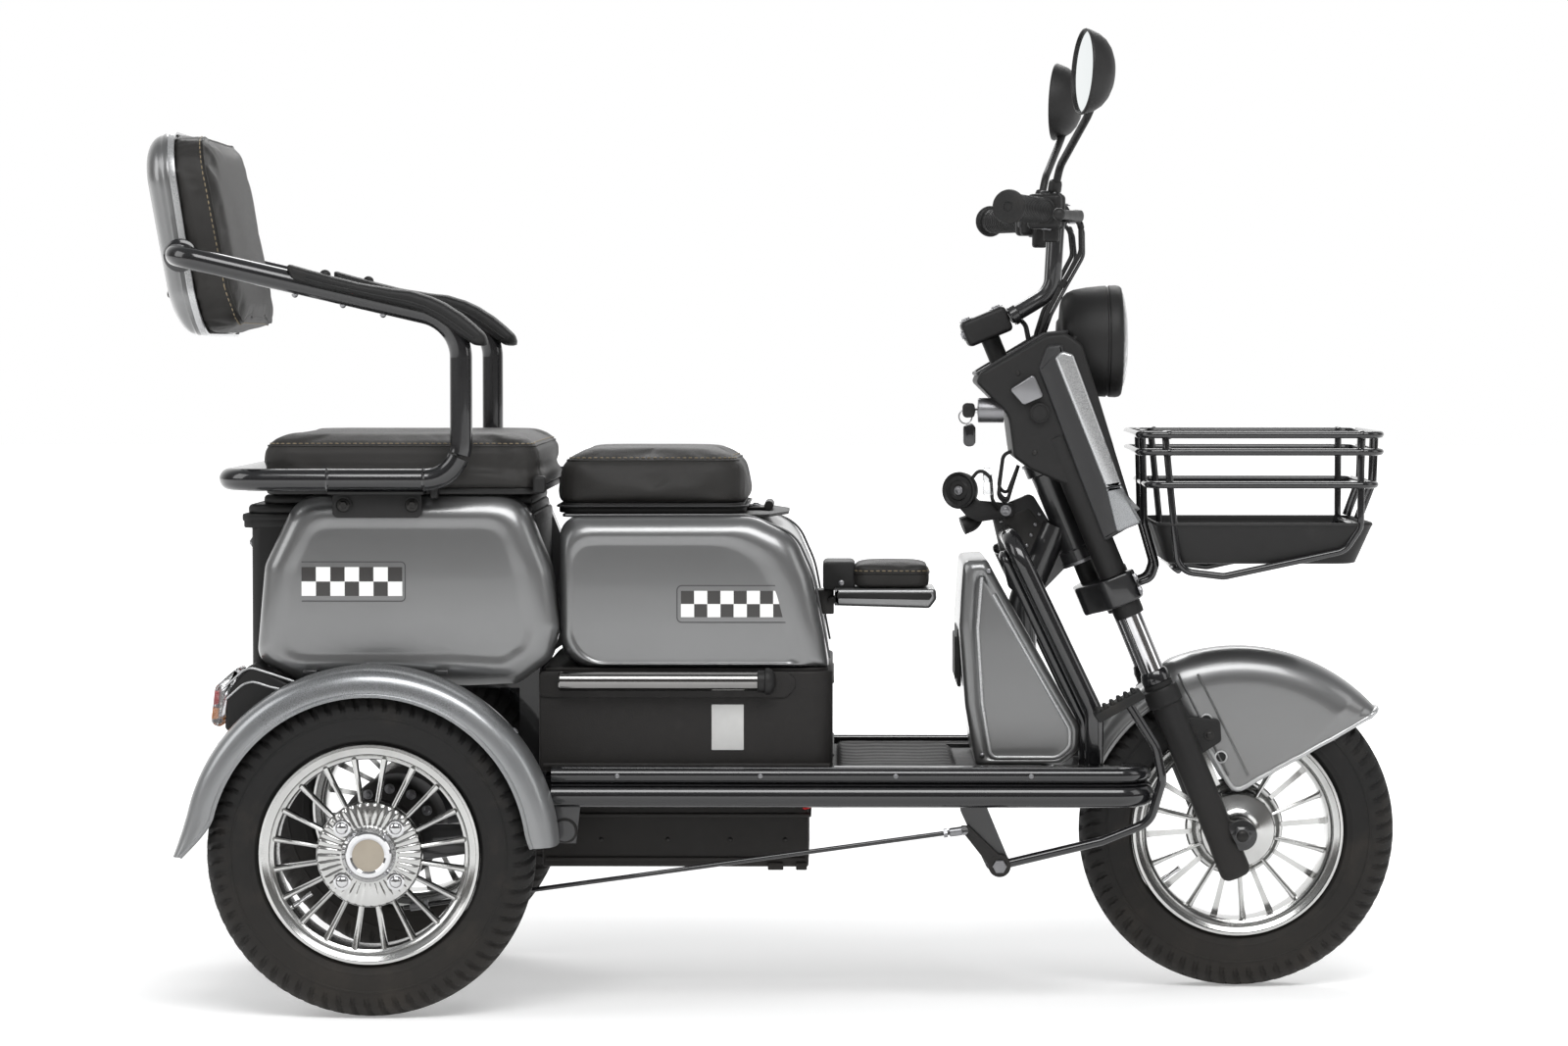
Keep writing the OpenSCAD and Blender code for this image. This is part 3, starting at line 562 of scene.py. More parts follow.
def steerWay(local):
    # a direction in steering-axis coordinates
    return steerFrame(local)[0] - steerFrame((0, 0, 0))[0]


def steered(shape):
    return steerFrame(shape[0]), shape[1]


def bolt(place, axis, radius=6.0, height=4.0, sides=6, washer=True):
    # a hexagon head with a domed top, on a washer
    head = lathe([(0.01, height), (radius * 0.75, height), (radius, height * 0.75), (radius, 0)], place, axis,
                 sides)
    if not washer:
        return [head]
    return [head, lathe([(0.01, 1.2), (radius * 1.4, 1.2), (radius * 1.5, 0.8), (radius * 1.5, 0)], place,
                        axis, 28)]


def dome(place, axis, radius, height, sides=28):
    a = np.linspace(0, math.pi / 2, 7)
    return lathe(np.stack([radius * np.maximum(np.cos(a), 0.01), height * np.sin(a)], -1), place, axis, sides)


def ball(place, axis, radius):
    arc = [(radius * max(math.sin(t), 0.01), -radius * math.cos(t)) for t in np.linspace(0, math.pi, 14)]
    return lathe(arc, place, axis, 28)


def piece(name, body, shapes, replaces=(), sharp=38.0):
    # shapes is a list of (finish, shape); the mesh is in metres and rides on a body
    points, faces, marks, names, start = [], [], [], [], 0
    for finish, shape in shapes:
        if finish not in names:
            names.append(finish)
        points.append(shape[0])
        faces += [[k + start for k in face] for face in shape[1]]
        marks += [names.index(finish)] * len(shape[1])
        start += len(shape[0])
    mesh = bpy.data.meshes.new(name)
    mesh.from_pydata(np.vstack(points) * 0.001, [], faces)
    mesh.polygons.foreach_set("material_index", np.array(marks, dtype=np.int32))
    for finish in names:
        mesh.materials.append(finishes[finish])
    work = bmesh.new()
    work.from_mesh(mesh)
    bmesh.ops.remove_doubles(work, verts=work.verts, dist=2e-6)
    bmesh.ops.dissolve_degenerate(work, edges=work.edges, dist=1e-7)
    bmesh.ops.recalc_face_normals(work, faces=work.faces)
    work.to_mesh(mesh)
    work.free()
    mesh.polygons.foreach_set("use_smooth", np.ones(len(mesh.polygons), dtype=bool))
    mesh.set_sharp_from_angle(angle=math.radians(sharp))
    thing = bpy.data.objects.new(name, mesh)
    bpy.context.scene.collection.objects.link(thing)
    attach(thing, body)
    if replaces:
        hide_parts(*replaces)
    return thing


def paint(finish, *shapes):
    # the same finish for several shapes, or lists of shapes
    flat = []
    for shape in shapes:
        flat += shape if isinstance(shape, list) else [shape]
    return [(finish, shape) for shape in flat]


def span(node):
    lo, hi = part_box(node)
    return np.array(lo) * 1000, np.array(hi) * 1000


def middle(node):
    lo, hi = span(node)
    return (lo + hi) / 2


# tyres and rims
tyreShape = {"lugs": 66, "perLug": 10, "lugDepth": 3.4, "width": 39.0, "beadR": 138.4}
rimShape = {"spokes": 20, "spokeWide": 6.6, "spokeThin": 4.4}


def tyre(centre, outer):
    # radius = carcass(w) - groove(angle, w): a slanted wave round the tread, cut into square lugs
    half, bead = tyreShape["width"], tyreShape["beadR"]
    side = np.array([(bead, 29), (bead + 4, 33.5), (bead + 9, 35), (bead + 11, 36.2), (bead + 13, 36.2),
                     (bead + 15, 36.8), (bead + 22, 38.4), (bead + 31, 39), (bead + 32, 39.9),
                     (bead + 33.4, 39.9), (bead + 34.4, 39), (outer - 26, 38.6), (outer - 21, 37.4),
                     (outer - 17, 36), (outer - 13, 33.6), (outer - 9, 30), (outer - 5.6, 25.6),
                     (outer - 3.2, 20.5), (outer - 1.6, 15), (outer - 0.5, 9), (outer, 4)])
    line = np.vstack([side * (1, -1), (side * (1, 1))[::-1]])
    inner = np.array([(bead, 22), (bead + 2, 12), (bead + 2, -12), (bead, -22)])
    line = np.vstack([line, inner])
    count = tyreShape["lugs"] * tyreShape["perLug"]
    a = np.linspace(0, 2 * math.pi, count, endpoint=False)[:, None]
    r, w = line[None, :, 0], line[None, :, 1]
    shoulder = np.clip((r - (outer - 28)) / 9, 0, 1)
    slant = np.abs(w) / half * 0.9 + 0.5 * (w > 0)
    wave = (a * tyreShape["lugs"] / (2 * math.pi) + slant) % 1.0
    groove = (wave < 0.36).astype(float) * (np.abs(w) > 8)
    band = (np.abs(np.abs(w) - 12) < 2.2) * (r > outer - 8)
    depth = shoulder * tyreShape["lugDepth"] * np.maximum(groove * (np.abs(w) > 6), band * 0.9)
    reach = r - depth * np.clip((r - bead - 30) / 30, 0, 1)
    across = w - np.sign(w) * depth * np.clip((np.abs(w) - 24) / 12, 0, 1) * 0.8
    points = np.stack([centre[0] + reach * np.cos(a), centre[1] + across + 0 * a,
                       centre[2] + reach * np.sin(a)], -1)
    return grid(points, True)


def rimRing(centre):
    # the barrel: a two-step lip on each side round a deep well
    lip = [(137.9, 33), (136.6, 35), (133.4, 35.2), (131.8, 33.6), (129.6, 33.0), (128.2, 31.6),
           (125.0, 30.8), (123.2, 28.0), (119.0, 26.0), (117.6, 22), (117.0, 14)]
    line = np.array(lip + [(p[0], -p[1]) for p in lip[::-1]] + [(126, -12), (126, 12)])
    return lathe(line, centre, (0, 1, 0), 160, True)


def spoke(centre, angle, side, inner=40.0, outer=119.5, level=24.0):
    # a tapered bar with a raised spine, wider at the rim, dished towards the hub
    t = np.linspace(0, 1, 9)
    r = inner + (outer - inner) * t
    wide = rimShape["spokeWide"] * (0.92 + 0.10 * t + 0.35 * t ** 6)
    thick = rimShape["spokeThin"] * (1.25 - 0.25 * t)
    y = level - 6.0 * np.sin(t * math.pi) * 0.4
    shape = np.array([(-1, -1), (-1, 0.25), (-0.55, 0.85), (0, 1), (0.55, 0.85), (1, 0.25), (1, -1)])
    across = wide[:, None] * shape[None, :, 0] / 2
    rise = side * (y[:, None] + thick[:, None] * shape[None, :, 1])
    c, s = math.cos(angle), math.sin(angle)
    points = np.stack([centre[0] + r[:, None] * c - across * s, centre[1] + rise,
                       centre[2] + r[:, None] * s + across * c], -1)
    return grid(points)


def rearRim(name, body, node, side):
    centre = middle(node)
    shapes = paint("alloy", rimRing(centre))
    for k in range(rimShape["spokes"]):
        angle = math.radians(9 + 18 * k)
        shapes += paint("alloy", spoke(centre, angle, side, 58.0))
    face = centre + (0, side * 20.0, 0)
    out = (0, side, 0)
    # the hub disc, its face scored by radial flutes
    a = np.linspace(0, 2 * math.pi, 280, endpoint=False)
    ring = np.array([(24, 15.5), (34, 15.5), (36, 14), (40, 13.6), (50, 13.2), (60, 12.6), (64, 11.4),
                     (66, 8), (66, -6), (20, -6)])
    flute = 1.1 * np.clip(np.sin(a * 40), -0.35, 1)[:, None] * ((ring[:, 0] > 37) * (ring[:, 0] < 63))[None]
    r, h = ring[None, :, 0], ring[None, :, 1] + flute
    disc = np.stack([face[0] + r * np.cos(a)[:, None], face[1] + side * h, face[2] + r * np.sin(a)[:, None]],
                    -1)
    shapes += paint("alloy", grid(disc, True))
    shapes += paint("chrome", lathe([(20, 12), (20, 22.5), (22.5, 24.5), (27, 24.5), (30, 22), (31.5, 18),
                                     (33.5, 16.5), (34.5, 14), (34.5, 8)], face, out, 72))
    shapes += paint("cap", lathe([(0.01, 23.2), (15, 23.2), (20, 22.6), (20.4, 20)], face, out, 56))
    for k in range(4):
        angle = math.radians(45 + 90 * k)
        place = face + 47.0 * np.array([math.cos(angle), 0, math.sin(angle)]) + (0, side * 12, 0)
        shapes += paint("chrome", lathe([(11, 0), (11, 2.4), (9.6, 3), (8.4, 3)], place, out, 32),
                        dome(place + (0, side * 2.5, 0), out, 8.2, 6.5))
    shapes += paint("alloy", lathe([(46, -28), (46, 12), (14, 12), (14, -28)], centre, out, 48, True))
    shapes += paint("chrome", *valve(centre, side))
    piece(name, body, shapes, [node])


def valve(centre, side):
    # a short stem through the rim well
    place = centre + (-96.0, side * 14, -66.0)
    inward = unit(centre - place)
    return [lathe([(3.2, 0), (3.2, 8), (2.4, 9), (2.4, 20), (2.9, 21), (2.9, 27), (0.01, 27.5)], place,
                  inward, 20)]


def frontRim(name, body, node):
    centre = middle(node)
    shapes = paint("alloy", rimRing(centre))
    for k in range(rimShape["spokes"]):
        shapes += paint("alloy", spoke(centre, math.radians(4.5 + 18 * k), -1 if k % 2 else 1, 42.0, 119.5,
                                       9.0))
    # a drum on the far side, a flanged hub on the near one
    shapes += paint("alloy", lathe([(8.1, -44), (20, -44), (22, -40), (30, -36), (47, -32), (50, -28),
                                    (50, -12), (56, -8), (60, 0), (62, 20), (62, 34), (58, 38), (40, 40),
                                    (20, 43), (8.1, 43)], centre, (0, 1, 0), 96, True))
    shapes += paint("alloy", lathe([(62, 22), (64, 24), (64, 27), (62, 29)], centre, (0, 1, 0), 96))
    shapes += paint("chrome", *valve(centre, -1))
    piece(name, body, shapes, [node])


for label, side in bothSides:
    node = "rear_tyre_" + label
    centre, outer = middle(node), (span(node)[1][0] - span(node)[0][0]) / 2
    piece("rearTyre" + label.title(), "rear_wheel_" + label,
          paint("tread", tyre(centre, outer)), [node], 30)
    rearRim("rearRim" + label.title(), "rear_wheel_" + label, "rear_rim_" + label, side)
centre = middle("front_tyre")
piece("frontTyre", "front_wheel",
      paint("tread", tyre(centre, (span("front_tyre")[1][0] - span("front_tyre")[0][0]) / 2)), ["front_tyre"],
      30)
frontRim("frontRim", "front_wheel", "front_rim")
print("wheels made")


# bodywork
def byAngle(line, centre, angles):
    # distance from a centre to a closed outline in each direction
    v = line - centre
    a = np.arctan2(v[:, 1], v[:, 0]) % (2 * math.pi)
    order = np.argsort(a)
    return np.interp(angles, a[order], np.linalg.norm(v, axis=1)[order], period=2 * math.pi)


printLift = 0.3


def bulge(dx, dz, crown):
    # how far a crowned side falls back, by the squares of the distances from its middle
    return crown * (0.22 * (dx / 150) ** 2 + 0.78 * (dz / 105) ** 2)


def reliefSide(outer, ridge, plateau, centre, half, roll, recess, crown, start):
    # rings of a moulded side: wall, elliptic roll from outer to ridge, soft step down to the plateau,
    # crowned middle
    outer, ridge, plateau = [spaced(roundCorners(c, r, True, 12), 1400, True) for c,
                             r in (outer, ridge, plateau)]
    line = spaced(outer, 340, True)
    v = line - centre
    a = np.arctan2(v[:, 1], v[:, 0])
    r0, r1, r2 = [byAngle(o, centre, a % (2 * math.pi)) for o in (outer, ridge, plateau)]
    spoke = np.stack([np.cos(a), np.sin(a)], -1)
    rings = [onPlane(centre + spoke * r0[:, None], start)]
    for s in np.linspace(0, math.pi / 2, 11):
        r = r0 + (r1 - r0) * (1 - math.cos(s))
        rings.append(onPlane(centre + spoke * r[:, None], half - roll + roll * math.sin(s)))
    for s in np.linspace(0.12, 1, 9):
        r = r1 + (r2 - r1) * s
        rings.append(onPlane(centre + spoke * r[:, None], half - recess * s * s * (3 - 2 * s)))
    for s in np.linspace(0.94, 0.02, 14):
        rings.append(onPlane(centre + spoke * (r2 * s)[:, None], half - recess))
    rings = np.array(rings)
    # the whole side then falls away from its middle, fully at the face and not at all at the wall
    share = np.clip((rings[..., 1] - start) / (half - recess - start), 0, 1)
    rings[..., 1] -= share * bulge(rings[..., 0] - centre[0], rings[..., 2] - centre[1], crown)
    return rings


def flipSide(rings, sign):
    return rings * (1, sign, 1)


def crownLevel(p, x, z):
    # level of the crowned side at a point, and the print's lift over it
    return p["half"] - p["recess"] - bulge(x - p["centre"][0], z - p["centre"][1], p["crown"]) + printLift


def checkEdges(name):
    # left, right, foot and top of a chequered band of two rows
    band = checks[name]
    return (band["left"], band["left"] + band["columns"] * band["square"],
            band["foot"], band["foot"] + 2 * band["square"])


def outlineBand(corners, radius, p, side, width=1.5):
    # a thin raised printed line round an open outline, laid on the crowned panel
    line = spaced(roundCorners([(c[0], 0, c[1]) for c in corners], radius, False, 8), 160)
    line[:, 1] = side * crownLevel(p, line[:, 0], line[:, 2])
    return sweep(line, np.array([(-width / 2, -0.25), (width / 2, -0.25), (width / 2, 0.25),
                                 (-width / 2, 0.25)]), (0, 1, 0))


def decal(x0, x1, z0, z1, p, side):
    x, z = np.meshgrid(np.linspace(x0, x1, 24), np.linspace(z0, z1, 8), indexing="ij")
    front = np.stack([x, side * crownLevel(p, x, z), z], -1)
    back = front - (0, side * 0.5, 0)
    points, faces = grid(front, False, False)
    edge = list(range(0, 24 * 8, 8)) + [23 * 8 + k for k in range(1, 8)] + [k * 8 + 7
            for k in range(22, -1, -1)] + list(range(6, 0, -1))
    count = len(points)
    lower, lowerFaces = grid(back, False, False)
    faces = faces + [[k + count for k in face[::-1]] for face in lowerFaces]
    faces += [[a, b, b + count, a + count] for a, b in zip(edge, edge[1:] + edge[:1])]
    return np.vstack([points, lower]), faces


rearPanel = {"outer": ([(-656, 440), (-645, 560), (-603, 649), (-322, 649), (-284, 555), (-274, 480),
                        (-284, 440), (-326, 409), (-390, 407), (-603, 410)],
                       [26, 40, 48, 48, 60, 26, 26, 26, 20, 30]),
             "ridge": ([(-632, 446), (-620, 556), (-588, 622), (-338, 622), (-310, 552), (-301, 478),
                        (-310, 452), (-338, 432), (-400, 434), (-600, 436)],
                       [20, 40, 34, 36, 50, 20, 20, 20, 30, 22]),
             "plateau": ([(-612, 460), (-602, 552), (-576, 604), (-352, 604), (-332, 548), (-318, 480),
                          (-324, 462), (-348, 447), (-410, 452), (-590, 450)],
                         [16, 40, 24, 26, 50, 16, 16, 16, 40, 18]), "centre": (-465, 530), "half": 233.0,
             "roll": 30.0, "recess": 2.4, "crown": 9.0, "start": 161.0}
for label, side in bothSides:
    p = rearPanel
    rings = reliefSide(**p)
    shapes = paint("silver", grid(flipSide(rings, side)))
    low, high, foot, top = checkEdges("rear")
    shapes += paint("outline",
                    outlineBand([(low, foot - 6.6), (high + 3.6, foot - 6.6), (high + 3.6, top + 6.5),
                                 (low, top + 6.5)], [0, 5, 5, 0], p, side))
    piece("rearPanel" + label.title(), "chassis", shapes, ["rear_panel_" + label])
    piece("rearChecker" + label.title(), "chassis",
          [("rearCheck", decal(low, high, foot, top, p, side))])

driverShell = {"outer": ([(-275, 429.4), (-275, 620), (-30, 621), (22, 596), (44, 545), (60, 469),
                          (66, 429.4)], [40, 26, 60, 50, 120, 60, 3]),
               "ridge": ([(-262, 434), (-262, 597), (-44, 597), (0, 574), (18, 536), (30, 470), (36, 434)],
                         [44, 26, 70, 50, 100, 60, 5]),
               "plateau": ([(-256, 437), (-256, 583), (-66, 583), (-28, 562), (-6, 524), (10, 466),
                            (16, 437)], [44, 24, 90, 60, 90, 60, 6]), "centre": (-110, 515), "half": 205.0,
               "roll": 30.0, "recess": 2.3, "crown": 8.0, "start": 120.0}
p = driverShell
rings = reliefSide(**p)
whole = np.vstack([flipSide(rings, -1)[::-1], rings])
shapes = paint("silver", grid(whole))
low, high, foot, top = checkEdges("front")
for side in (-1, 1):
    shapes += paint("outline", outlineBand([(high, foot - 6.6), (low - 5, foot - 6.6), (low - 5, top + 6.6),
                                            (high, top + 6.6)], [0, 6, 6, 0], p, side))
# thin trim lines over the top edge, and the dark deck under the seat
for side in (-1, 1):
    path = roundCorners([(-268, side * 176, 621.0), (-36, side * 176, 621.5), (24, side * 176, 597),
                         (47, side * 176, 545), (67, side * 176, 440)], [0, 60, 50, 120, 0], False, 10)
    shapes += paint("outline", sweep(path, circle(1.5, 8), (0, 1, 0)))
shapes += paint("black", plate([(-273, -166), (-12, -166), (14, -60), (14, 60), (-12, 166), (-273, 166)], 618,
                               622.0, 18, 1.2, "z"))
piece("driverShell", "chassis", shapes, ["driver_shell"])
for label, side in bothSides:
    piece("driverChecker" + label.title(), "chassis",
          [("frontCheck", decal(low, high, foot, top, p, side))])


def lowerBody():
    # the black lower body, rounded in plan, with a lip, moulded lines and a blank plate
    shapes = paint("lowerBody",
                   plate([(-300, -200), (71, -200), (71, 200), (-300, 200)], 297.5, 425.0, [3, 30, 30, 3],
                         3.0, "z", 0, 5),
                   plate([(-294, -194), (65, -194), (65, 194), (-294, 194)], 424.0, 429.0, [3, 28, 28, 3],
                         1.0, "z"))
    for side in (-1, 1):
        shapes += paint("lowerBody", roundedBox((-296, side * 199 - 3, 302), (68, side * 199 + 3, 309), 2.8),
                        plate([(-300, 392), (12, 392), (24, 404), (24, 416), (12, 425), (-300, 425)],
                              side * 201 - 2, side * 201 + 2, 8, 1.5))
        shapes += paint("paper", flank([(-82.0, 325.5), (-41.5, 325.5), (-41.5, 383), (-82.0, 383)],
                                       side, 200.2, 200.9, 1.0, 0.2))
    shapes += paint("black", roundedBox((69.4, -150, 312), (72.6, 150, 316), 1.4),
                    roundedBox((69.4, -150, 406), (72.6, 150, 410), 1.4))
    piece("lowerBody", "chassis", shapes, ["driver_base"])


def trimTubes():
    # polished tube with a black flanged end cap, on short stand-offs
    shapes = []
    for side in (-1, 1):
        y = side * 212.4
        shapes += paint("smoked", lathe([(0.01, 0), (10.5, 0), (12, 1.5), (12, 252), (10.5, 253.4),
                                         (0.01, 253.4)], (-274, y, 413), (1, 0, 0), 48))
        shapes += paint("black", lathe([(0.01, 0), (13, 0), (14.2, 1.2), (14.2, 9), (16.5, 10), (17, 12),
                                        (17, 15), (14.5, 19), (9, 22.4), (0.01, 23.6)], (-24, y, 413),
                                       (1, 0, 0), 48))
        for x in (-210, -60):
            shapes += paint("black", roundedBox((x, min(y, side * 200), 402),
                                                (x + 22, max(y, side * 200), 424), 3))
    piece("trimTubes", "chassis", shapes, ["trim_tubes"])


def storageBox():
    shapes = paint("black", plate([(-669, -160), (-306, -160), (-306, 160), (-669, 160)], 428.5, 606, 14, 2,
                                  "z", 0, 4),
                   plate([(-679, -160), (-306, -160), (-306, 160), (-679, 160)], 604, 616, [12, 3, 3, 12], 2,
                         "z"), plate([(-681, -160), (-306, -160), (-306, 160), (-681, 160)], 612, 622,
                                     [12, 3, 3, 12], 2.5, "z"),
                   plate([(-674, -157), (-310, -157), (-310, 157), (-674, 157)], 620, 634, [16, 3, 3, 16], 6,
                         "z", 0, 5),
                   plate([(-655, -150), (-312, -150), (-312, 150), (-655, 150)], 632, 646, [16, 3, 3, 16], 6,
                         "z", 0, 5))
    for y in (-110, -37, 37, 110):     # moulded ribs on the tailboard
        shapes += paint("black", roundedBox((-672.4, y - 3, 446), (-666, y + 3, 590), 2.2))
    shapes += paint("black", roundedBox((-674, -60, 470), (-666, 60, 560), 3))
    for y in (-140, 140):
        shapes += paint("steel", bolt((-669.5, y, 585), (-1, 0, 0), 4, 3))
    # lid catch in the middle of the back
    shapes += paint("darkSteel", roundedBox((-685, -16, 590), (-676, 16, 614), 2.5),
                    roundedBox((-687, -9, 584), (-682, 9, 602), 2))
    piece("storageBox", "chassis", shapes, ["storage_box"])


def sideRails():
    # a folded upper flange over a round lower tube, wrapped round the front corner
    a = np.linspace(-90, 90, 13)
    upper = np.stack([8 + 10 * np.cos(np.radians(a)), 14.5 + 10.0 * np.sin(np.radians(a))], -1)
    lower = np.stack([8 + 13.5 * np.cos(np.radians(a)), -11.5 + 14.5 * np.sin(np.radians(a))], -1)
    ridge = np.array([(17, 2.2), (15.5, 3.6)])
    line = np.vstack([lower, ridge, upper])
    profile = np.vstack([line, [(-14, 24.5), (-14, -26)]])
    shapes = []
    for side in (-1, 1):
        path = roundCorners([(-283, side * 215, 281), (438, side * 215, 281), (456, side * 195, 281),
                             (452, side * 158, 281)], [0, 26, 16, 0], False, 10)
        shapes += paint("gloss", sweep(path, profile * (-side, 1), (0, 0, 1)))
        shapes += paint("gloss", roundedBox((-272, side * 224 - 3, 300), (430, side * 224 + 3, 306.5), 2.6))
        for x in (-200, -20, 150, 320):
            shapes += paint("steel", dome((x, side * 232.6, 295.5), (0, side, 0), 3.2, 1.6, 16))
    piece("sideRails", "chassis", shapes, ["side_rails"])


def footboardMat():
    # the deck: height is a rounded square wave across y, cut short under the legshield
    y = np.linspace(-191.5, 191.5, 767)
    x = np.concatenate([np.linspace(72, 84, 5), np.linspace(100, 214, 5), np.linspace(222, 232, 4),
                        np.linspace(250, 331, 5), np.linspace(335, 344.5, 5)])
    phase = ((y + 180) / 20.0) % 1.0
    rib = np.clip(np.minimum(phase, 0.6 - phase) / 0.07, 0, 1) * (phase < 0.6)
    rib = rib * rib * (3 - 2 * rib) * (np.abs(y) < 184)
    ends = np.clip((x - 76) / 6, 0, 1) * np.clip((342 - x) / 6, 0, 1)
    inner = (np.abs(y) < 140)[None, :] * np.clip((x - 222) / 8, 0, 1)[:, None]
    height = 297 + 5.0 * rib[None, :] * ends[:, None] * (1 - inner)
    fine = 0.25 * np.sin(x * 1.4)[:, None] * (rib[None, :] > 0.9)
    top = np.stack([np.broadcast_to(x[:, None], height.shape), np.broadcast_to(y[None, :], height.shape),
                    height + fine * ends[:, None]], -1)
    # walls down to the underside, all round
    over = np.concatenate([top[:, :1] * (1, 1, 0) + (0, 0, 285), top, top[:, -1:] * (1, 1, 0) + (0, 0, 285)],
                          1)
    shapes = paint("black", grid(over, False, True))
    shapes += paint("black", roundedBox((-283, -191, 285), (74, 191, 296.8), 2))
    for side in (-1, 1):
        front = plate([(342, 128.5), (426, 128.5), (436, 142), (436, 171), (342, 171)], 285.5, 297.5,
                      [2, 10, 10, 8, 2], 2.5, "z")
        shapes += paint("black", front if side > 0 else mirrored(front))
        for yy in (138, 150, 162):
            shapes += paint("black", roundedBox((352, side * yy - 3, 296), (424, side * yy + 3, 301), 2))
    piece("footboardMat", "chassis", shapes, ["footboard"])


def batteryBox():
    shapes = paint("case", roundedBox((-300, -140, 170), (40, 140, 251.6), 3.0),
                   roundedBox((-303.5, -143, 234), (43.5, 143, 239), 1.8))
    for side in (-1, 1):
        for x in (-225, -140, -60, 10):
            shapes += paint("darkSteel", dome((x, side * 140, 205), (0, side, 0), 3.0, 1.6, 16))
        shapes += paint("case", roundedBox((-12, side * 141.5 - 2, 166.2), (8, side * 141.5 + 2, 176), 1.4),
                        roundedBox((24, side * 141.5 - 2, 166.2), (38, side * 141.5 + 2, 176), 1.4),
                        roundedBox((-296, side * 140 - 2.5, 178), (36, side * 140 + 2.5, 183), 1.8))
    # wires that leave the front of the box
    shapes += paint("red", tube([(34, -138, 246), (48, -152, 252), (62, -150, 262), (68, -140, 272)], 3.4, 8,
                                12))
    shapes += paint("grip", tube([(60, -150, 250), (110, -154, 262), (180, -150, 256), (240, -152, 268)], 3.0,
                                 20, 12),
                    tube([(100, -158, 262), (150, -160, 254), (205, -166, 262), (250, -160, 272)], 2.4, 20,
                         12))
    piece("batteryBox", "chassis", shapes, ["battery_box"])


def legShield():
    outer = ([(238, 560), (232.5, 476), (240, 376), (254, 297.6), (364, 297.6), (386, 318), (388, 348),
              (284, 532), (268, 562)], [8, 60, 80, 6, 20, 18, 16, 40, 8])
    ridge = ([(249, 548), (245, 476), (251, 378), (263, 304), (360, 304), (379, 320), (380, 346), (278, 526),
              (264, 550)], [6, 60, 80, 5, 18, 16, 14, 40, 6])
    plateau = ([(257, 535), (253, 474), (259, 380), (270, 311), (357, 311), (372, 323), (372, 344),
                (272, 518), (263, 537)], [6, 60, 80, 5, 16, 14, 12, 40, 6])
    rings = reliefSide(outer, ridge, plateau, centre=(292, 400), half=128.0, roll=12.0, recess=4.0, crown=2.5,
                       start=60.0)
    shapes = paint("silver", grid(np.vstack([flipSide(rings, -1)[::-1], rings])))
    # bright bead along the rear edge and the foot
    for side in (-1, 1):
        y = side * 126
        path = roundCorners([(261, side * 125.5, 540), (256, y, 476), (262, y, 380), (273, y, 309),
                             (358, y, 309), (374, y, 322), (374, y, 345), (276, y, 518)],
                            [0, 60, 80, 10, 18, 14, 16, 0], False, 8)
        shapes += paint("brightSilver", sweep(path, circle(2.4, 12, 0.8), (0, 1, 0)))
        for x, z in ((262, 312), (270, 548)):
            shapes += paint("steel", dome((x, side * 127.2, z), (0, side, 0), 3.4, 1.8, 16))
    shapes += paint("black", roundedBox((231.5, -70, 395), (236.5, 70, 470), 3),
                    roundedBox((228.5, -60, 405), (233, 60, 460), 2.5))
    piece("legShield", "chassis", shapes, ["legshield"])


def legGuards():
    shapes = []
    for side in (-1, 1):
        y = side * 143
        path = [(298, side * 8, 590), (298, y, 590), (404, y, 368), (404, y, 297.6)]
        shapes += paint("gloss", tube(path, 12.0, 40, 26, False, (0, 0.31, 0.95), 14))
        shapes += paint("gloss", roundedBox((390, y - 14, 296.5), (418, y + 14, 301), 1.8))
        shapes += paint("gloss", tube([(291, side * 100, 566), (291, side * 121, 566), (393, side * 121, 352),
                                       (393, side * 121, 298)], 7.5, 26, 20, steps=12))
    piece("legGuards", "chassis", shapes, ["leg_guards"])


armSide = 250


def armFrame():
    corners = np.array([(-752, -188.5, 949), (-752, -armSide, 949), (-393, -armSide, 866),
                        (-393, -armSide, 668), (-688, -armSide, 668)])
    whole = np.vstack([corners, corners[::-1] * (1, -1, 1)])
    shapes = paint("gloss", tube(whole, 14.0, [0, 30, 58, 46, 46, 46, 46, 58, 30, 0], 32, False,
                                 (0.31, 0, 0.95), 16))
    for side in (-1, 1):
        shapes += paint("gloss", lathe([(14, 0), (19, 0), (21, 1.5), (21, 4), (18, 6), (14, 6.5)],
                                       (-752, side * 189, 949), (0, side, 0), 40, True))
        for x, z in ((-600, 905), (-540, 892), (-490, 880)):
            shapes += paint("steel", dome((x, side * armSide, z - 5.5), (0, 0, -1), 4.2, 4.5, 16))
        # weld beads at the bracket
        shapes += paint("gloss", lathe([(14, -2), (15.8, 0), (14, 2)], (-560, side * armSide, 668), (1, 0, 0),
                                       32), lathe([(14, -2), (15.8, 0), (14, 2)], (-440, side * armSide, 668),
                                                  (1, 0, 0), 32))
    piece("armFrame", "chassis", shapes, ["arm_frame"])


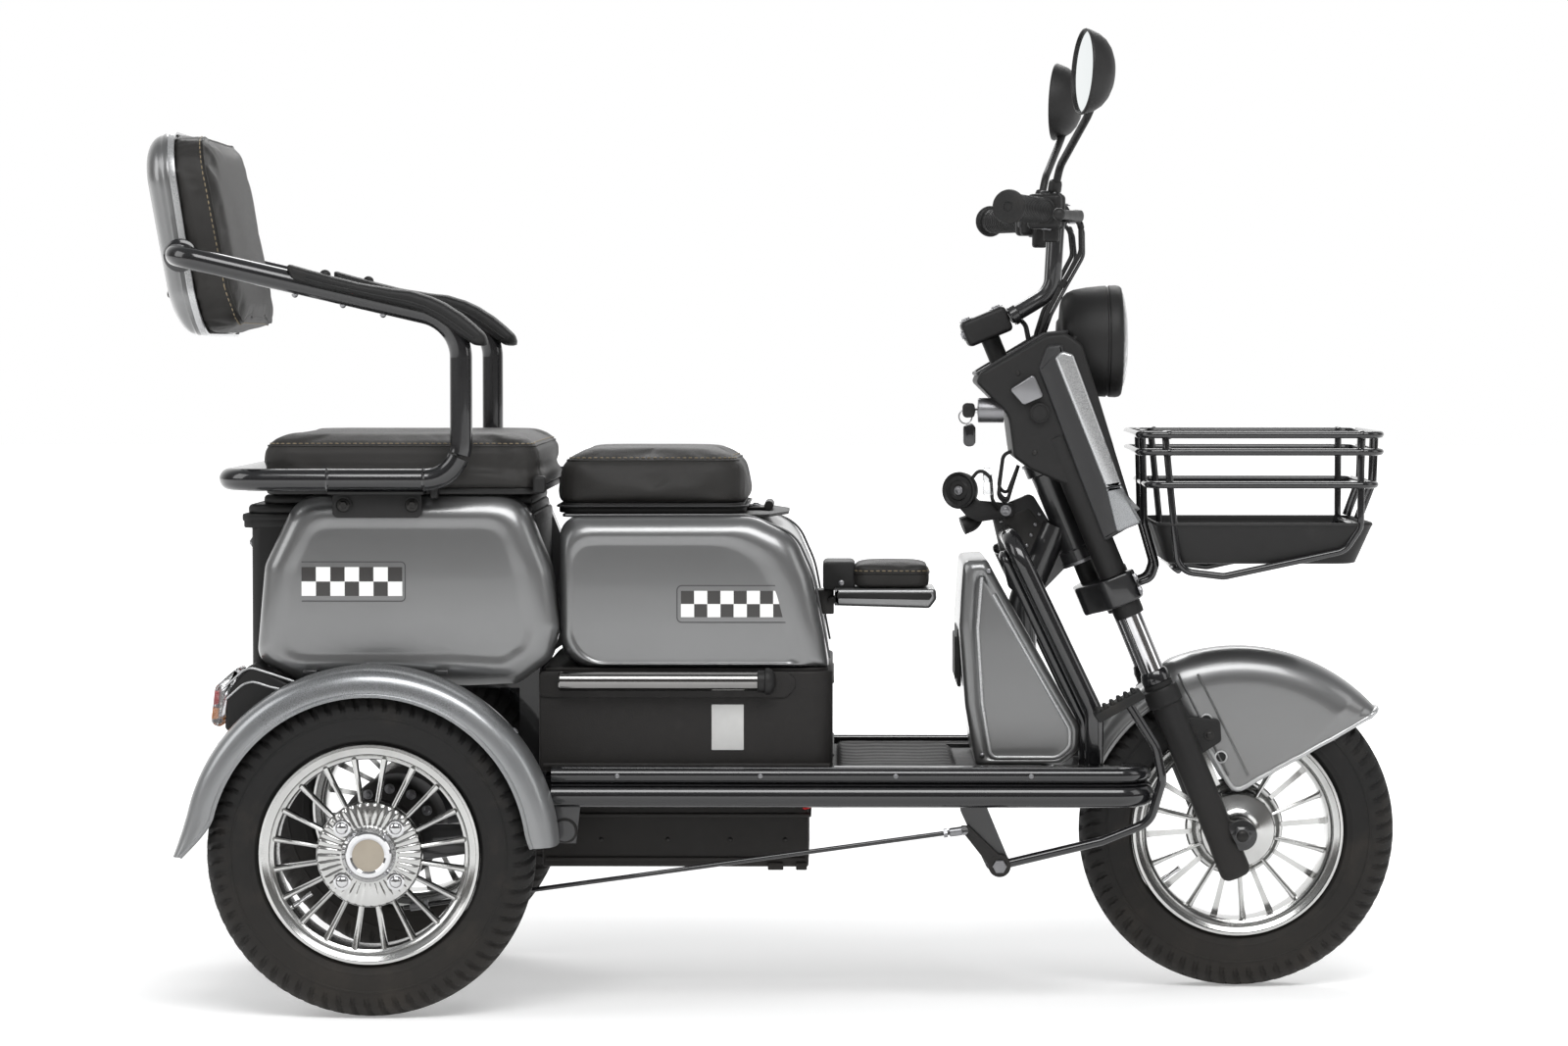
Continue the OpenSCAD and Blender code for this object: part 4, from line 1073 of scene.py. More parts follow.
def armRests():
    # a pad wrapped over the tube: its section is a flattened loop, its path follows the tube and ends
    # in a flared tail
    top = np.array([(-612, 939), (-600, 935), (-564, 925), (-521, 914), (-480, 907), (-454, 904), (-430, 897),
                    (-411, 888), (-392, 876), (-375, 862), (-362, 850), (-356, 841)])
    low = np.array([(-606, 921), (-598, 915), (-566, 906), (-523, 897), (-484, 888), (-458, 882), (-440, 876),
                    (-424, 868), (-408, 857), (-392, 846), (-376, 836), (-364, 832)])
    line = spaced(roundCorners(top, 14, False, 4), 90)
    under = spaced(roundCorners(low, 14, False, 4), 90)
    a = np.linspace(0, 2 * math.pi, 40, endpoint=False)
    mid = (line + under) / 2
    thick = (line - under) / 2
    t = np.linspace(0, 1, 90)
    close = np.clip(np.minimum(t / 0.035, (1 - t) / 0.06), 0, 1)
    close = np.sqrt(1 - (1 - close) ** 2) * 0.97 + 0.03
    wide = 22.0 * (0.78 + 0.22 * np.clip(t / 0.25, 0, 1)) * close
    c, s = np.cos(a), np.sin(a)
    boxy = (np.abs(c) ** 3.2 + np.abs(s) ** 3.2) ** (-1 / 3.2)
    wave = 1 + 0.012 * np.sin(t * 46) * (t > 0.1)
    for label, side in bothSides:
        x = mid[:, None, 0] + thick[:, None, 0] * close[:, None] * (s * boxy)[None]
        z = mid[:, None, 1] + thick[:, None, 1] * (close * wave)[:, None] * (s * boxy)[None]
        y = side * armSide + wide[:, None] * (c * boxy)[None]
        shapes = paint("grip", grid(np.stack([x, y, z], -1)))
        # a moulded line along each flank and the small knob near the back
        for way in (-1, 1):
            path = np.stack([mid[8:84, 0] - 0.25 * thick[8:84, 0], side * armSide + way * (wide[8:84] + 0.1),
                             mid[8:84, 1] - 0.25 * thick[8:84, 1]], -1)
            shapes += paint("grip", sweep(path, circle(1.3, 8), (0, 1, 0)))
        shapes += paint("black", dome((-562, side * armSide, 924), (0.2, 0, 0.98), 7, 6, 24))
        pad = piece("armrest" + label.title(), "chassis", shapes, ["armrest_" + label])


def seatBrackets():
    shapes = []
    for side in (-1, 1):
        y0, y1 = sorted((side * 206, side * 256))
        shapes += paint("black", roundedBox((-560, y0, 649.5), (-440, y1, 653.6), 1.6))
        shapes += paint("black", flank([(-556, 620), (-444, 620), (-444, 652), (-556, 652)], side, 233.4, 238,
                                       7, 1.2))
        for x in (-546, -460):
            shapes += paint("darkSteel", bolt((x + 4, side * 238, 636), (0, side, 0), 5.6, 4.2))
            shapes += paint("black", lathe([(9, 0), (10.5, 0), (10.5, 2.2), (9, 2.2)],
                                           (x + 4, side * 238, 636), (0, side, 0), 28, True))
        shapes += paint("black", roundedBox((-434, y0 + (0 if side > 0 else 20), 644),
                                            (-424, y1 - (20 if side > 0 else 0), 660), 3))
    shapes += paint("darkSteel", plate([(57.5, 486), (50.5, 518), (72.4, 518), (72.4, 486)], -20, 20, 2, 1.2),
                    lathe([(0.01, 0), (5, 0), (5, 52), (0.01, 52)], (70, -26, 504), (0, 1, 0), 24))
    piece("seatBrackets", "chassis", shapes, ["seat_brackets"])


lowerBody()
trimTubes()
storageBox()
sideRails()
footboardMat()
batteryBox()
legShield()
legGuards()
armFrame()
armRests()
seatBrackets()
print("bodywork made")


# padded pieces
softPads = {"voxel": 0.0052, "pressure": 4.0, "frames": 18, "tension": 12.0, "bending": 0.6}


def bareObject(name, shape):
    mesh = bpy.data.meshes.new(name)
    mesh.from_pydata(shape[0] * 0.001, [], shape[1])
    thing = bpy.data.objects.new(name, mesh)
    bpy.context.scene.collection.objects.link(thing)
    return thing


def evaluatedMesh(thing):
    return bpy.data.meshes.new_from_object(thing.evaluated_get(bpy.context.evaluated_depsgraph_get()))


def inflated(name, shape, cap, pinned):
    # voxel remesh, then cloth blown up from inside; no point moves more than the cap
    thing = bareObject(name + "Start", shape)
    remesh = thing.modifiers.new("remesh", "REMESH")
    remesh.mode, remesh.voxel_size = "VOXEL", softPads["voxel"]
    mesh = evaluatedMesh(thing)
    thing.modifiers.clear()
    thing.data = mesh
    rest = np.empty(len(mesh.vertices) * 3)
    mesh.vertices.foreach_get("co", rest)
    rest = rest.reshape(-1, 3)
    group = thing.vertex_groups.new(name="held")
    group.add(np.nonzero(pinned(rest * 1000))[0].tolist(), 1.0, "REPLACE")
    cloth = thing.modifiers.new("cloth", "CLOTH")
    cloth.settings.use_pressure = True
    cloth.settings.uniform_pressure_force = softPads["pressure"]
    cloth.settings.effector_weights.gravity = 0
    cloth.settings.tension_stiffness = cloth.settings.compression_stiffness = softPads["tension"]
    cloth.settings.bending_stiffness = softPads["bending"]
    cloth.settings.vertex_group_mass = "held"
    cloth.settings.quality = 4
    cloth.collision_settings.use_collision = False
    cloth.point_cache.frame_start, cloth.point_cache.frame_end = 1, softPads["frames"]
    for frameNumber in range(1, softPads["frames"] + 1):
        bpy.context.scene.frame_set(frameNumber)
    blown = evaluatedMesh(thing)
    now = np.empty(len(rest) * 3)
    blown.vertices.foreach_get("co", now)
    move = now.reshape(-1, 3) - rest
    size = np.linalg.norm(move, axis=1, keepdims=True)
    limit = cap * 0.001
    move *= limit * np.tanh(size / limit) / np.maximum(size, 1e-9)
    rest = rest + move
    bpy.context.scene.frame_set(1)
    bpy.data.objects.remove(thing)
    mesh.vertices.foreach_set("co", rest.ravel())
    mesh.update()
    return mesh


def pushIn(mesh, depthAt):
    # moves each point against its normal by depthAt(points, normals) mm
    count = len(mesh.vertices)
    points, normals = np.empty(count * 3), np.empty(count * 3)
    mesh.vertices.foreach_get("co", points)
    mesh.vertex_normals.foreach_get("vector", normals)
    points, normals = points.reshape(-1, 3), normals.reshape(-1, 3)
    points -= normals * depthAt(points * 1000, normals)[:, None] * 0.001
    mesh.vertices.foreach_set("co", points.ravel())
    mesh.update()


def onSurface(mesh, starts, directions):
    # where rays from outside first meet the pad, with the surface direction there
    work = bmesh.new()
    work.from_mesh(mesh)
    tree = BVHTree.FromBMesh(work)
    work.free()
    hits, normals = [], []
    for start, direction in zip(starts * 0.001, directions):
        hit, normal, _, _ = tree.ray_cast(Vector(start), Vector(direction))
        if hit is not None:
            hits.append(tuple(hit))
            normals.append(tuple(normal))
    return np.array(hits) * 1000, np.array(normals)


def stitches(points, normals, pitch=7.6, length=5.2, radius=0.72):
    # short threads laid end to end round a line, each a five-sided bar sunk at its tips
    whole = np.vstack([points, points[:1]])
    run = np.concatenate([[0], np.cumsum(np.linalg.norm(np.diff(whole, axis=0), axis=1))])
    at = np.arange(pitch / 2, run[-1], pitch)
    n = np.vstack([normals, normals[:1]])

    def sample(values, where):
        return np.stack([np.interp(where, run, values[:, k]) for k in range(3)], -1)
    centre, out = sample(whole, at), unit(sample(n, at))
    along = unit(sample(whole, at + 1.0) - sample(whole, at - 1.0))
    side = unit(np.cross(along, out))
    u = np.array([-1, -0.8, -0.3, 0.3, 0.8, 1]) * length / 2
    thick = np.array([0.25, 0.8, 1, 1, 0.8, 0.25]) * radius
    lift = np.array([-0.55, 0.1, 0.45, 0.45, 0.1, -0.55]) * radius
    a = np.linspace(0, 2 * math.pi, 5, endpoint=False)
    ring = (along[:, None, None] * u[None, :, None, None] + out[:, None, None]
            * (lift[:, None] + thick[:, None] * np.cos(a))[None, ..., None] + side[:, None, None]
            * (thick[:, None] * np.sin(a))[None, ..., None]) + centre[:, None, None]
    index = np.arange(ring[0].size // 3).reshape(6, 5)
    wide = np.hstack([index, index[:, :1]])
    quads = np.stack([wide[:-1, :-1], wide[:-1, 1:], wide[1:, 1:], wide[1:, :-1]], -1).reshape(-1, 4)
    step = np.arange(len(ring))[:, None, None] * 30
    faces = (quads[None] + step).reshape(-1, 4).tolist()
    ends = np.concatenate([(index[0, ::-1][None] + step[:, 0]), (index[-1][None] + step[:, 0])]).tolist()
    return ring.reshape(-1, 3), faces + ends


def padPiece(name, body, mesh, node):
    mesh.materials.clear()
    mesh.materials.append(finishes["vinyl"])
    mesh.polygons.foreach_set("use_smooth", np.ones(len(mesh.polygons), dtype=bool))
    thing = bpy.data.objects.new(name, mesh)
    bpy.context.scene.collection.objects.link(thing)
    subdivision = thing.modifiers.new("subdivision", "SUBSURF")
    subdivision.levels = subdivision.render_levels = 1
    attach(thing, body)
    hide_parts(node)


def boxPad(lo, hi, corner, edge):
    # a rounded rectangle in plan, drawn in by quarter ellipses above and below
    under = 5.0
    plan = spaced(roundCorners([(lo[0], lo[1]), (hi[0], lo[1]), (hi[0], hi[1]), (lo[0], hi[1])], corner, True,
                               10), 200, True)
    s = np.linspace(0, math.pi / 2, 8)
    rings = [onPlane(inset(plan, under * (1 - math.sin(t))), lo[2] + under * (1 - math.cos(t)), "z")
             for t in s]
    rings += [onPlane(inset(plan, edge * (1 - math.cos(t))), hi[2] - edge * 0.8 * (1 - math.sin(t)), "z")
              for t in s]
    return grid(np.array(rings))


def seatCushion(name, body, node, lo, hi, cushion):
    small = cushion["swell"]
    mesh = inflated(name, boxPad(lo + (small, small, 0), hi - (small, small, small), cushion["corner"],
                                 cushion["edge"]), small * 1.25, lambda p: p[:, 2] < lo[2] + 5.5)
    seam, crease = cushion["seam"], cushion["crease"]

    def depth(p, n):
        side = np.clip(1.1 - np.abs(n[:, 2]) * 1.3, 0, 1)
        grooves = 1.5 * np.exp(-((p[:, 2] - seam) / 3.4) ** 2)
        if crease:
            grooves = grooves + 4.2 * np.exp(-((p[:, 2] - crease) / 3.8) ** 2)
        return grooves * side
    pushIn(mesh, depth)
    padPiece(name, body, mesh, node)
    plan = spaced(roundCorners([(lo[0], lo[1]), (hi[0], lo[1]), (hi[0], hi[1]), (lo[0], hi[1])],
                               cushion["corner"], True, 10), 420, True)
    along = tangents(plan, True)
    inward = np.stack([-along[:, 1], along[:, 0], 0 * along[:, 0]], -1)
    starts = onPlane(plan, seam + 3.2, "z") - inward * 40
    points, normals = onSurface(mesh, starts, inward)
    shapes = [("thread", stitches(points, normals))]
    # piping over the seam, in the same vinyl
    points, normals = onSurface(mesh, onPlane(plan, seam, "z") - inward * 40, inward)
    shapes += [("vinyl", sweep(spaced(points + normals * 0.3, 420, True), circle(1.15, 8), (0, 0, 1), True))]
    piece(name + "Thread", body, shapes)


passengerCushion = {"corner": [34, 34, 34, 34], "edge": 24.0, "swell": 5.0, "seam": 709.0, "crease": 681.0,
                    "fill": 0.7}
driverCushion = {"corner": [34, 48, 48, 34], "edge": 32.0, "swell": 5.0, "seam": 689.0, "crease": 0,
                 "fill": 0.75}
childCushion = {"corner": 14, "edge": 9.0, "swell": 2.5, "seam": 541.0, "crease": 0, "fill": 0.8}

for name, body, node, rise, cushion in (("passengerCushion", "passenger_seat", "passenger_cushion", 0,
                                         passengerCushion),
                                        ("driverCushion", "driver_seat", "driver_cushion", 0.4,
                                         driverCushion),
                                        ("childSeatPad", "child_seat", "child_seat_pad", 0, childCushion)):
    lo, hi = span(node)
    seatCushion(name, body, node, lo + (0, 0, rise), hi, cushion)


def seatPans():
    shapes = paint("black", plate([(-645, -214), (-298, -214), (-298, 214), (-645, 214)], 648.4, 657, 30, 2.4,
                                  "z"))
    for side in (-1, 1):      # small clip at the front corner of the seat and hinge leaves behind
        shapes += paint("black", roundedBox((-306, side * 214 - 9, 650), (-290, side * 214 + 9, 672), 4))
        shapes += paint("darkSteel",
                        lathe([(0.01, 0), (5, 0), (5, 36), (0.01, 36)], (-640, side * 120 - 18, 652.5),
                              (0, 1, 0), 20))
    piece("passengerPan", "passenger_seat", shapes, ["passenger_seat_base"])
    shapes = paint("black", plate([(-279, -143), (-40, -143), (-40, 143), (-279, 143)], 622.5, 630, 26, 1.6,
                                  "z"), plate([(-277, -141), (-42, -141), (-42, 141), (-277, 141)], 629,
                                              635.0, 26, 1.6, "z"))
    line = roundCorners([(-281, -145, 631), (-38, -145, 631), (-38, 145, 631), (-281, 145, 631)], 26, True,
                        10)
    shapes += paint("grey", sweep(line, circle(1.5, 10), (0, 0, 1), True))
    # the hinge ahead of the seat: two leaves and a rolled barrel, with its catch
    shapes += paint("darkSteel",
                    plate([(-44, -40), (-14, -40), (-14, 40), (-44, 40)], 623.2, 626.6, 3, 0.8, "z"),
                    lathe([(0.01, 0), (6, 0), (6, 28), (5.2, 28.6), (5.2, 30.4), (6, 31), (6, 59),
                           (5.2, 59.6), (5.2, 61.4), (6, 62), (6, 90), (0.01, 90)], (-12, -45, 628.3),
                          (0, 1, 0), 28))
    for y in (-28, 28):
        shapes += paint("steel", bolt((-30, y, 626.6), (0, 0, 1), 4.4, 3))
    piece("driverPan", "driver_seat", shapes, ["driver_seat_base"])
    shapes = paint("silver", plate([(73.2, 499.5), (196, 496), (205, 508), (204, 521.5), (73.2, 521.5)], -62,
                                   62, [1, 6, 8, 5, 1], 5, "y", 0, 5))
    shapes += paint("black", plate([(76, 509), (196, 507), (199, 512), (198, 516), (76, 516)], -63, 63, 2,
                                   0.6), plate([(58, 518.5), (100, 518.5), (100, 556), (58, 556)], -44, 44, 6,
                                               3))
    for y in (-45, 45):
        shapes += paint("steel", dome((82, y * 1.38, 529), (0, np.sign(y), 0), 4, 2, 16))
    piece("childSeatPlate", "child_seat", shapes, ["child_seat_plate"])


backLean = np.array([(-729, 848), (-741, 906), (-752, 977), (-763, 1050), (-770, 1104)], float)


def backRings(levels, count=220):
    # outline across and up the backrest; each level is (inset, distance ahead of the lean line)
    outline = spaced(roundCorners([(-188, 849), (188, 849), (188, 1106), (-188, 1106)], [58, 58, 66, 66],
                                  True, 16), count, True)
    rings = []
    for draw, ahead in levels:
        line = inset(outline, draw)
        x = np.interp(line[:, 1], backLean[:, 1], backLean[:, 0])
        tilt = np.clip((line[:, 1] - 977) / 128, -1, 1)
        rings.append(np.stack([x + ahead * (1 - 0.10 * tilt * np.sign(ahead)), line[:, 0],
                               line[:, 1] + ahead * 0.10], -1))
    return np.array(rings)


def closeIn(rings, steps=9, crown=2.0, forward=1.0):
    # shrinks the last ring towards its middle, bowing it out
    last, middlePoint = rings[-1], rings[-1].mean(0)
    s = np.linspace(1, 0.03, steps)[1:]
    more = middlePoint + (last - middlePoint) * s[:, None,
                                                  None] + np.array([forward * crown, 0, 0]) * (1 - s ** 2)[:,
            None, None]
    return np.concatenate([rings, more])


def backrest():
    quarter = np.linspace(0, math.pi / 2, 12)
    shellLevels = [(1.5, 1.0), (0, -1), (0, -9),
                   (1.2, -10.5)] + [(1.5 + 44 * (1 - math.cos(t)), -11 - 24 * math.sin(t)) for t in quarter]
    rings = closeIn(backRings(shellLevels), 9, 4.0, -1)
    shapes = paint("silver", grid(rings))
    trim = backRings([(0, -1.0)])[0]
    shapes += paint("brightSilver",
                    sweep(trim, np.array([(-1.5, -1.2), (1.6, -1.8), (2.0, 0), (1.6, 6.0), (-1.5, 6.6)]),
                          (1, 0, 0), True))
    shapes += paint("black", lathe([(0.01, 3), (14, 3), (16, 1.5), (16, -2)], (-799, 0, 977), (-1, 0, 0.1),
                                   40))
    for y, z in ((-110, 905), (110, 905), (-110, 1050), (110, 1050)):
        x = float(np.interp(z, backLean[:, 1], backLean[:, 0])) - 37
        shapes += paint("darkSteel", dome((x - 0.5, y, z - 3.5), (-1, 0, 0), 5, 3, 20))
    piece("backrestShell", "chassis", shapes, ["backrest_shell"])
    swell = 4.0
    levels = [(20, 4), (swell, 4.5), (swell, 10), (swell, 20), (swell, 30), (swell, 38)]
    levels += [(swell + 15 * (1 - math.cos(t)), 39 + (15 - swell) * math.sin(t)) for t in quarter]
    shape = grid(closeIn(backRings(levels), 6, 1.5, 1))

    def ahead(p):
        return p[:, 0] - np.interp(p[:, 2], backLean[:, 1], backLean[:, 0])
    mesh = inflated("backrestCushion", shape, swell * 1.3, lambda p: ahead(p) < 7.0)
    pushIn(mesh, lambda p, n: np.clip(1.1 - np.abs(n[:, 0]) * 1.3, 0, 1) * 1.8
           * np.exp(-((ahead(p) - 44) / 3.2) ** 2))
    padPiece("backrestCushion", "chassis", mesh, "backrest_cushion")
    face = backRings([(0, 44.0), (0, 40.4)], 460)
    centre = face[0].mean(0)
    shapes = []
    for finish, ring in (("vinyl", face[0]), ("thread", face[1])):
        along = tangents(ring, True)
        inward = np.stack([0 * along[:, 0], -along[:, 2], along[:, 1]], -1)
        inward = unit(inward * np.sign(np.sum(inward * (centre - ring), -1))[:, None])
        points, normals = onSurface(mesh, ring - inward * 40, inward)
        if finish == "thread":
            shapes += [("thread", stitches(points, normals))]
        else:
            shapes += [("vinyl", sweep(spaced(points + normals * 0.3, 420, True), circle(1.3, 8), (1, 0, 0),
                                       True))]
    piece("backrestThread", "chassis", shapes)


seatPans()
backrest()
print("seats made")


# fenders and lamps
def arcSheet(centre, angles, sections, thick):
    # sections[i] is a list of (radius, y) at angle i; offset inwards by the thickness to make a closed skin
    sections = np.asarray(sections, float)
    along = np.gradient(sections, axis=1)
    normal = unit(np.stack([-along[..., 1], along[..., 0]], -1))
    toward = -np.sign(np.sum(normal * (sections - sections.mean(1, keepdims=True) * (0, 1)), -1))[..., None]
    inner = sections + normal * toward * thick
    loop = np.concatenate([sections, inner[:, ::-1]], 1)
    a = np.radians(angles)[:, None]
    points = np.stack([centre[0] + loop[..., 0] * np.cos(a), loop[..., 1] + 0 * a,
                       centre[2] + loop[..., 0] * np.sin(a)], -1)
    return grid(points)


def aboutWheel(centre, radius, y, degrees):
    # points at a radius and an angle about a wheel
    a = np.radians(degrees)
    return np.stack([centre[0] + radius * np.cos(a), y, centre[2] + radius * np.sin(a)], -1)


def rearFender(label, side):
    centre = middle("rear_tyre_" + label)
    angles = np.concatenate([np.linspace(2.6, 8, 12), np.linspace(9.5, 168, 150),
                             np.linspace(169, 180.5, 16)])
    base = np.array([(227, 235), (229.5, 238), (231.5, 244), (233, 256), (233.8, 272), (233.6, 288),
                     (232.2, 302), (229.5, 312), (225, 319), (219, 323), (211, 325.2), (203, 325.6),
                     (199.5, 325.4), (198.2, 324.0)])
    t = np.clip((angles - 166) / 14.5, 0, 1)
    flare = 11 * t ** 2
    frontTip = np.clip((9 - angles) / 6.4, 0, 1)
    sections = np.repeat(base[None], len(angles), 0)
    low = np.clip((233 - base[:, 0]) / 34, 0, 1)
    sections[..., 0] += flare[:, None] + low[None] * (4 * frontTip ** 1.7 + 22 * t ** 1.7)[:, None]
    sections[..., 1] *= side
    shapes = paint("fenderSilver", arcSheet(centre, angles, sections, 2.6))
    # rolled edge, a stay and its bolts
    edge = aboutWheel(centre, sections[:, -2, 0], sections[:, -2, 1], angles)
    shapes += paint("fenderSilver", sweep(edge, circle(2.4, 10), (0, 1, 0)))
    for degrees in (92, 40, 145):
        a = math.radians(degrees)
        out = np.array([math.cos(a), 0, math.sin(a)])
        shapes += paint("steel", bolt(centre * (1, 0, 1) + out * 232.2 + (0, side * 262, 0), out, 4.6, 3.2))
    low, high = sorted((side * 158, side * 240))
    for x in (-585, -420):
        shapes += paint("frame", roundedBox((x - 9, low, 424), (x + 9, high, 429), 2))
    piece("rearFender" + label.title(), "chassis", shapes, ["rear_fender_" + label])


def tailLamp(label, side):
    y0, y1 = sorted((side * 164, side * 229))
    body = plate([(-694, 352), (-690, 404), (-660, 437), (-640, 426), (-606, 408), (-577, 406), (-628, 387),
                  (-684, 350)], y0, y1, [8, 8, 10, 8, 8, 4, 12, 8], 5, "y", 0, 5)
    shapes = paint("black", body)
    lens = plate([(-712, 360), (-706, 407), (-670, 438), (-680, 412), (-690, 392), (-696, 354)], y0 - 1.5,
                 y1 + 1.5, [8, 12, 6, 10, 10, 8], 6, "y", 0, 5)
    shapes += paint("lens", lens)
    shapes += paint("chrome", plate([(-703, 366), (-698, 402), (-684, 416), (-686, 396), (-693, 372)], y0 + 4,
                                    y1 - 4, 5, 3))
    shapes += paint("tailRed",
                    plate([(-708.5, 384), (-706, 401), (-700, 401), (-702, 384)], y0 + 8, y1 - 8, 2, 1))
    shapes += paint("amber", plate([(-709, 366), (-708, 380), (-702, 380), (-703, 366)], y0 + 8, y1 - 8, 2,
                                   1))
    y = side * 229.4
    for lift, bend in ((0, 20), (-17, 24)):
        shapes += paint("brightSilver",
                        tube([(-692, y, 408 + lift), (-664, y, 433 + lift), (-636, y, 424 + lift),
                              (-592, y, 409 + lift * 0.7)], 1.6, bend, 10))
    piece("tailLamp" + label.title(), "chassis", shapes, ["tail_lamp_" + label])


def frontFender():
    # a deep guard: radius and width per angle; the front part is trimmed low, the rear runs on
    # as a narrow flap
    centre = middle("front_tyre")
    lower = np.array([(41.0, 226), (43, 196), (45, 171), (48, 148), (51, 128), (56, 107), (62.3, 88),
                      (67, 79), (73.3, 69.6), (81, 61), (88, 56.5), (94, 56), (99, 59), (103, 68), (106, 82),
                      (109, 104), (111.6, 130), (113.2, 155), (114.8, 182), (117, 196), (130, 197),
                      (150, 198), (164, 200)])
    top = np.array([(41, 241), (60, 240), (112, 239), (121, 227), (140, 222), (164, 222)])
    halfWide = np.array([(41, 30), (44, 42), (50, 50), (110, 51), (118, 47), (164, 45)])
    angles = np.concatenate([np.linspace(41, 50, 26), np.linspace(50.5, 116, 110), np.linspace(117, 164, 40)])
    rLow, rTop, half = [np.interp(angles, c[:, 0], c[:, 1]) for c in (lower, top, halfWide)]
    soft = np.ones(5) / 5
    rTop = np.convolve(np.pad(rTop, 2, "edge"), soft, "valid")
    half = np.convolve(np.pad(half, 2, "edge"), soft, "valid")
    s = np.linspace(0, 1, 22)
    q = np.linspace(0, math.pi / 2, 16)
    shoulder = np.minimum(46.0, (rTop - rLow) * 0.8)
    # flat side up to the shoulder, then a quarter ellipse over to the middle
    sideR = rLow[:, None] + (rTop - shoulder - rLow)[:, None] * s
    sideY = half[:, None] * (1 - 0.04 * (1 - s) ** 2)
    domeR = (rTop - shoulder)[:, None] + shoulder[:, None] * np.sin(q)
    domeY = half[:, None] * np.cos(q) ** 0.8
    r = np.hstack([sideR, domeR[:, 1:]])
    y = np.hstack([-sideY, -domeY[:, 1:]])
    r = np.hstack([r, r[:, -2::-1]])
    y = np.hstack([y, -y[:, -2::-1]])
    section = np.stack([r, y], -1)
    shapes = paint("silver", arcSheet(centre, angles, section, 2.4))
    # rolled lip along both lower edges and across the nose
    for edge in (0, -1):
        lip = aboutWheel(centre, section[:, edge, 0], section[:, edge, 1] * 1.01, angles)[:132]
        shapes += paint("brightSilver", sweep(spaced(lip, 200), circle(3.2, 12), (0, 1, 0)))
    ring = aboutWheel(centre, section[0, :, 0], section[0, :, 1], angles[0])
    shapes += paint("brightSilver", sweep(spaced(ring, 80), circle(3.6, 12), (1, 0, -1)))
    for side in (-1, 1):
        # pressed seam line parallel to the fork, and two rubber-plugged bolt holes in it
        for lead in (0, 17):
            path = [(centre[0] - 86 + lead * 1.5 + 6, side * 51.2, centre[2] + 206),
                    (centre[0] - 14 + lead * 1.5, side * 51.0, centre[2] + 74)]
            shapes += paint("silver", sweep(spaced(path, 30), circle(1.5, 8), (0, 1, 0)))
        for dx, dz in ((-43, 146), (-24, 98)):
            place = np.array(centre) + (dx, side * 51.4, dz)
            shapes += paint("brightSilver",
                            lathe([(6.4, -0.6), (8.6, 0.0), (8.2, 1.2), (6.4, 1.0)], place, (0, side, 0), 32,
                                  True))
            shapes += paint("grip", dome(place, (0, side, 0), 6.4, 0.9, 24))
        low, high = sorted((side * 50, side * 58))
        shapes += paint("frame", roundedBox((centre[0] - 72, low, 322), (centre[0] - 34, high, 346), 3))
    piece("frontFender", "fork_slider", shapes, ["front_fender"])


for label, side in bothSides:
    rearFender(label, side)
    tailLamp(label, side)
frontFender()
print("fenders made")


# dash, lamp and lock
dash = {"inner": 76.0, "body": 90.0, "bevel": 95.0, "stripe": 97.5}


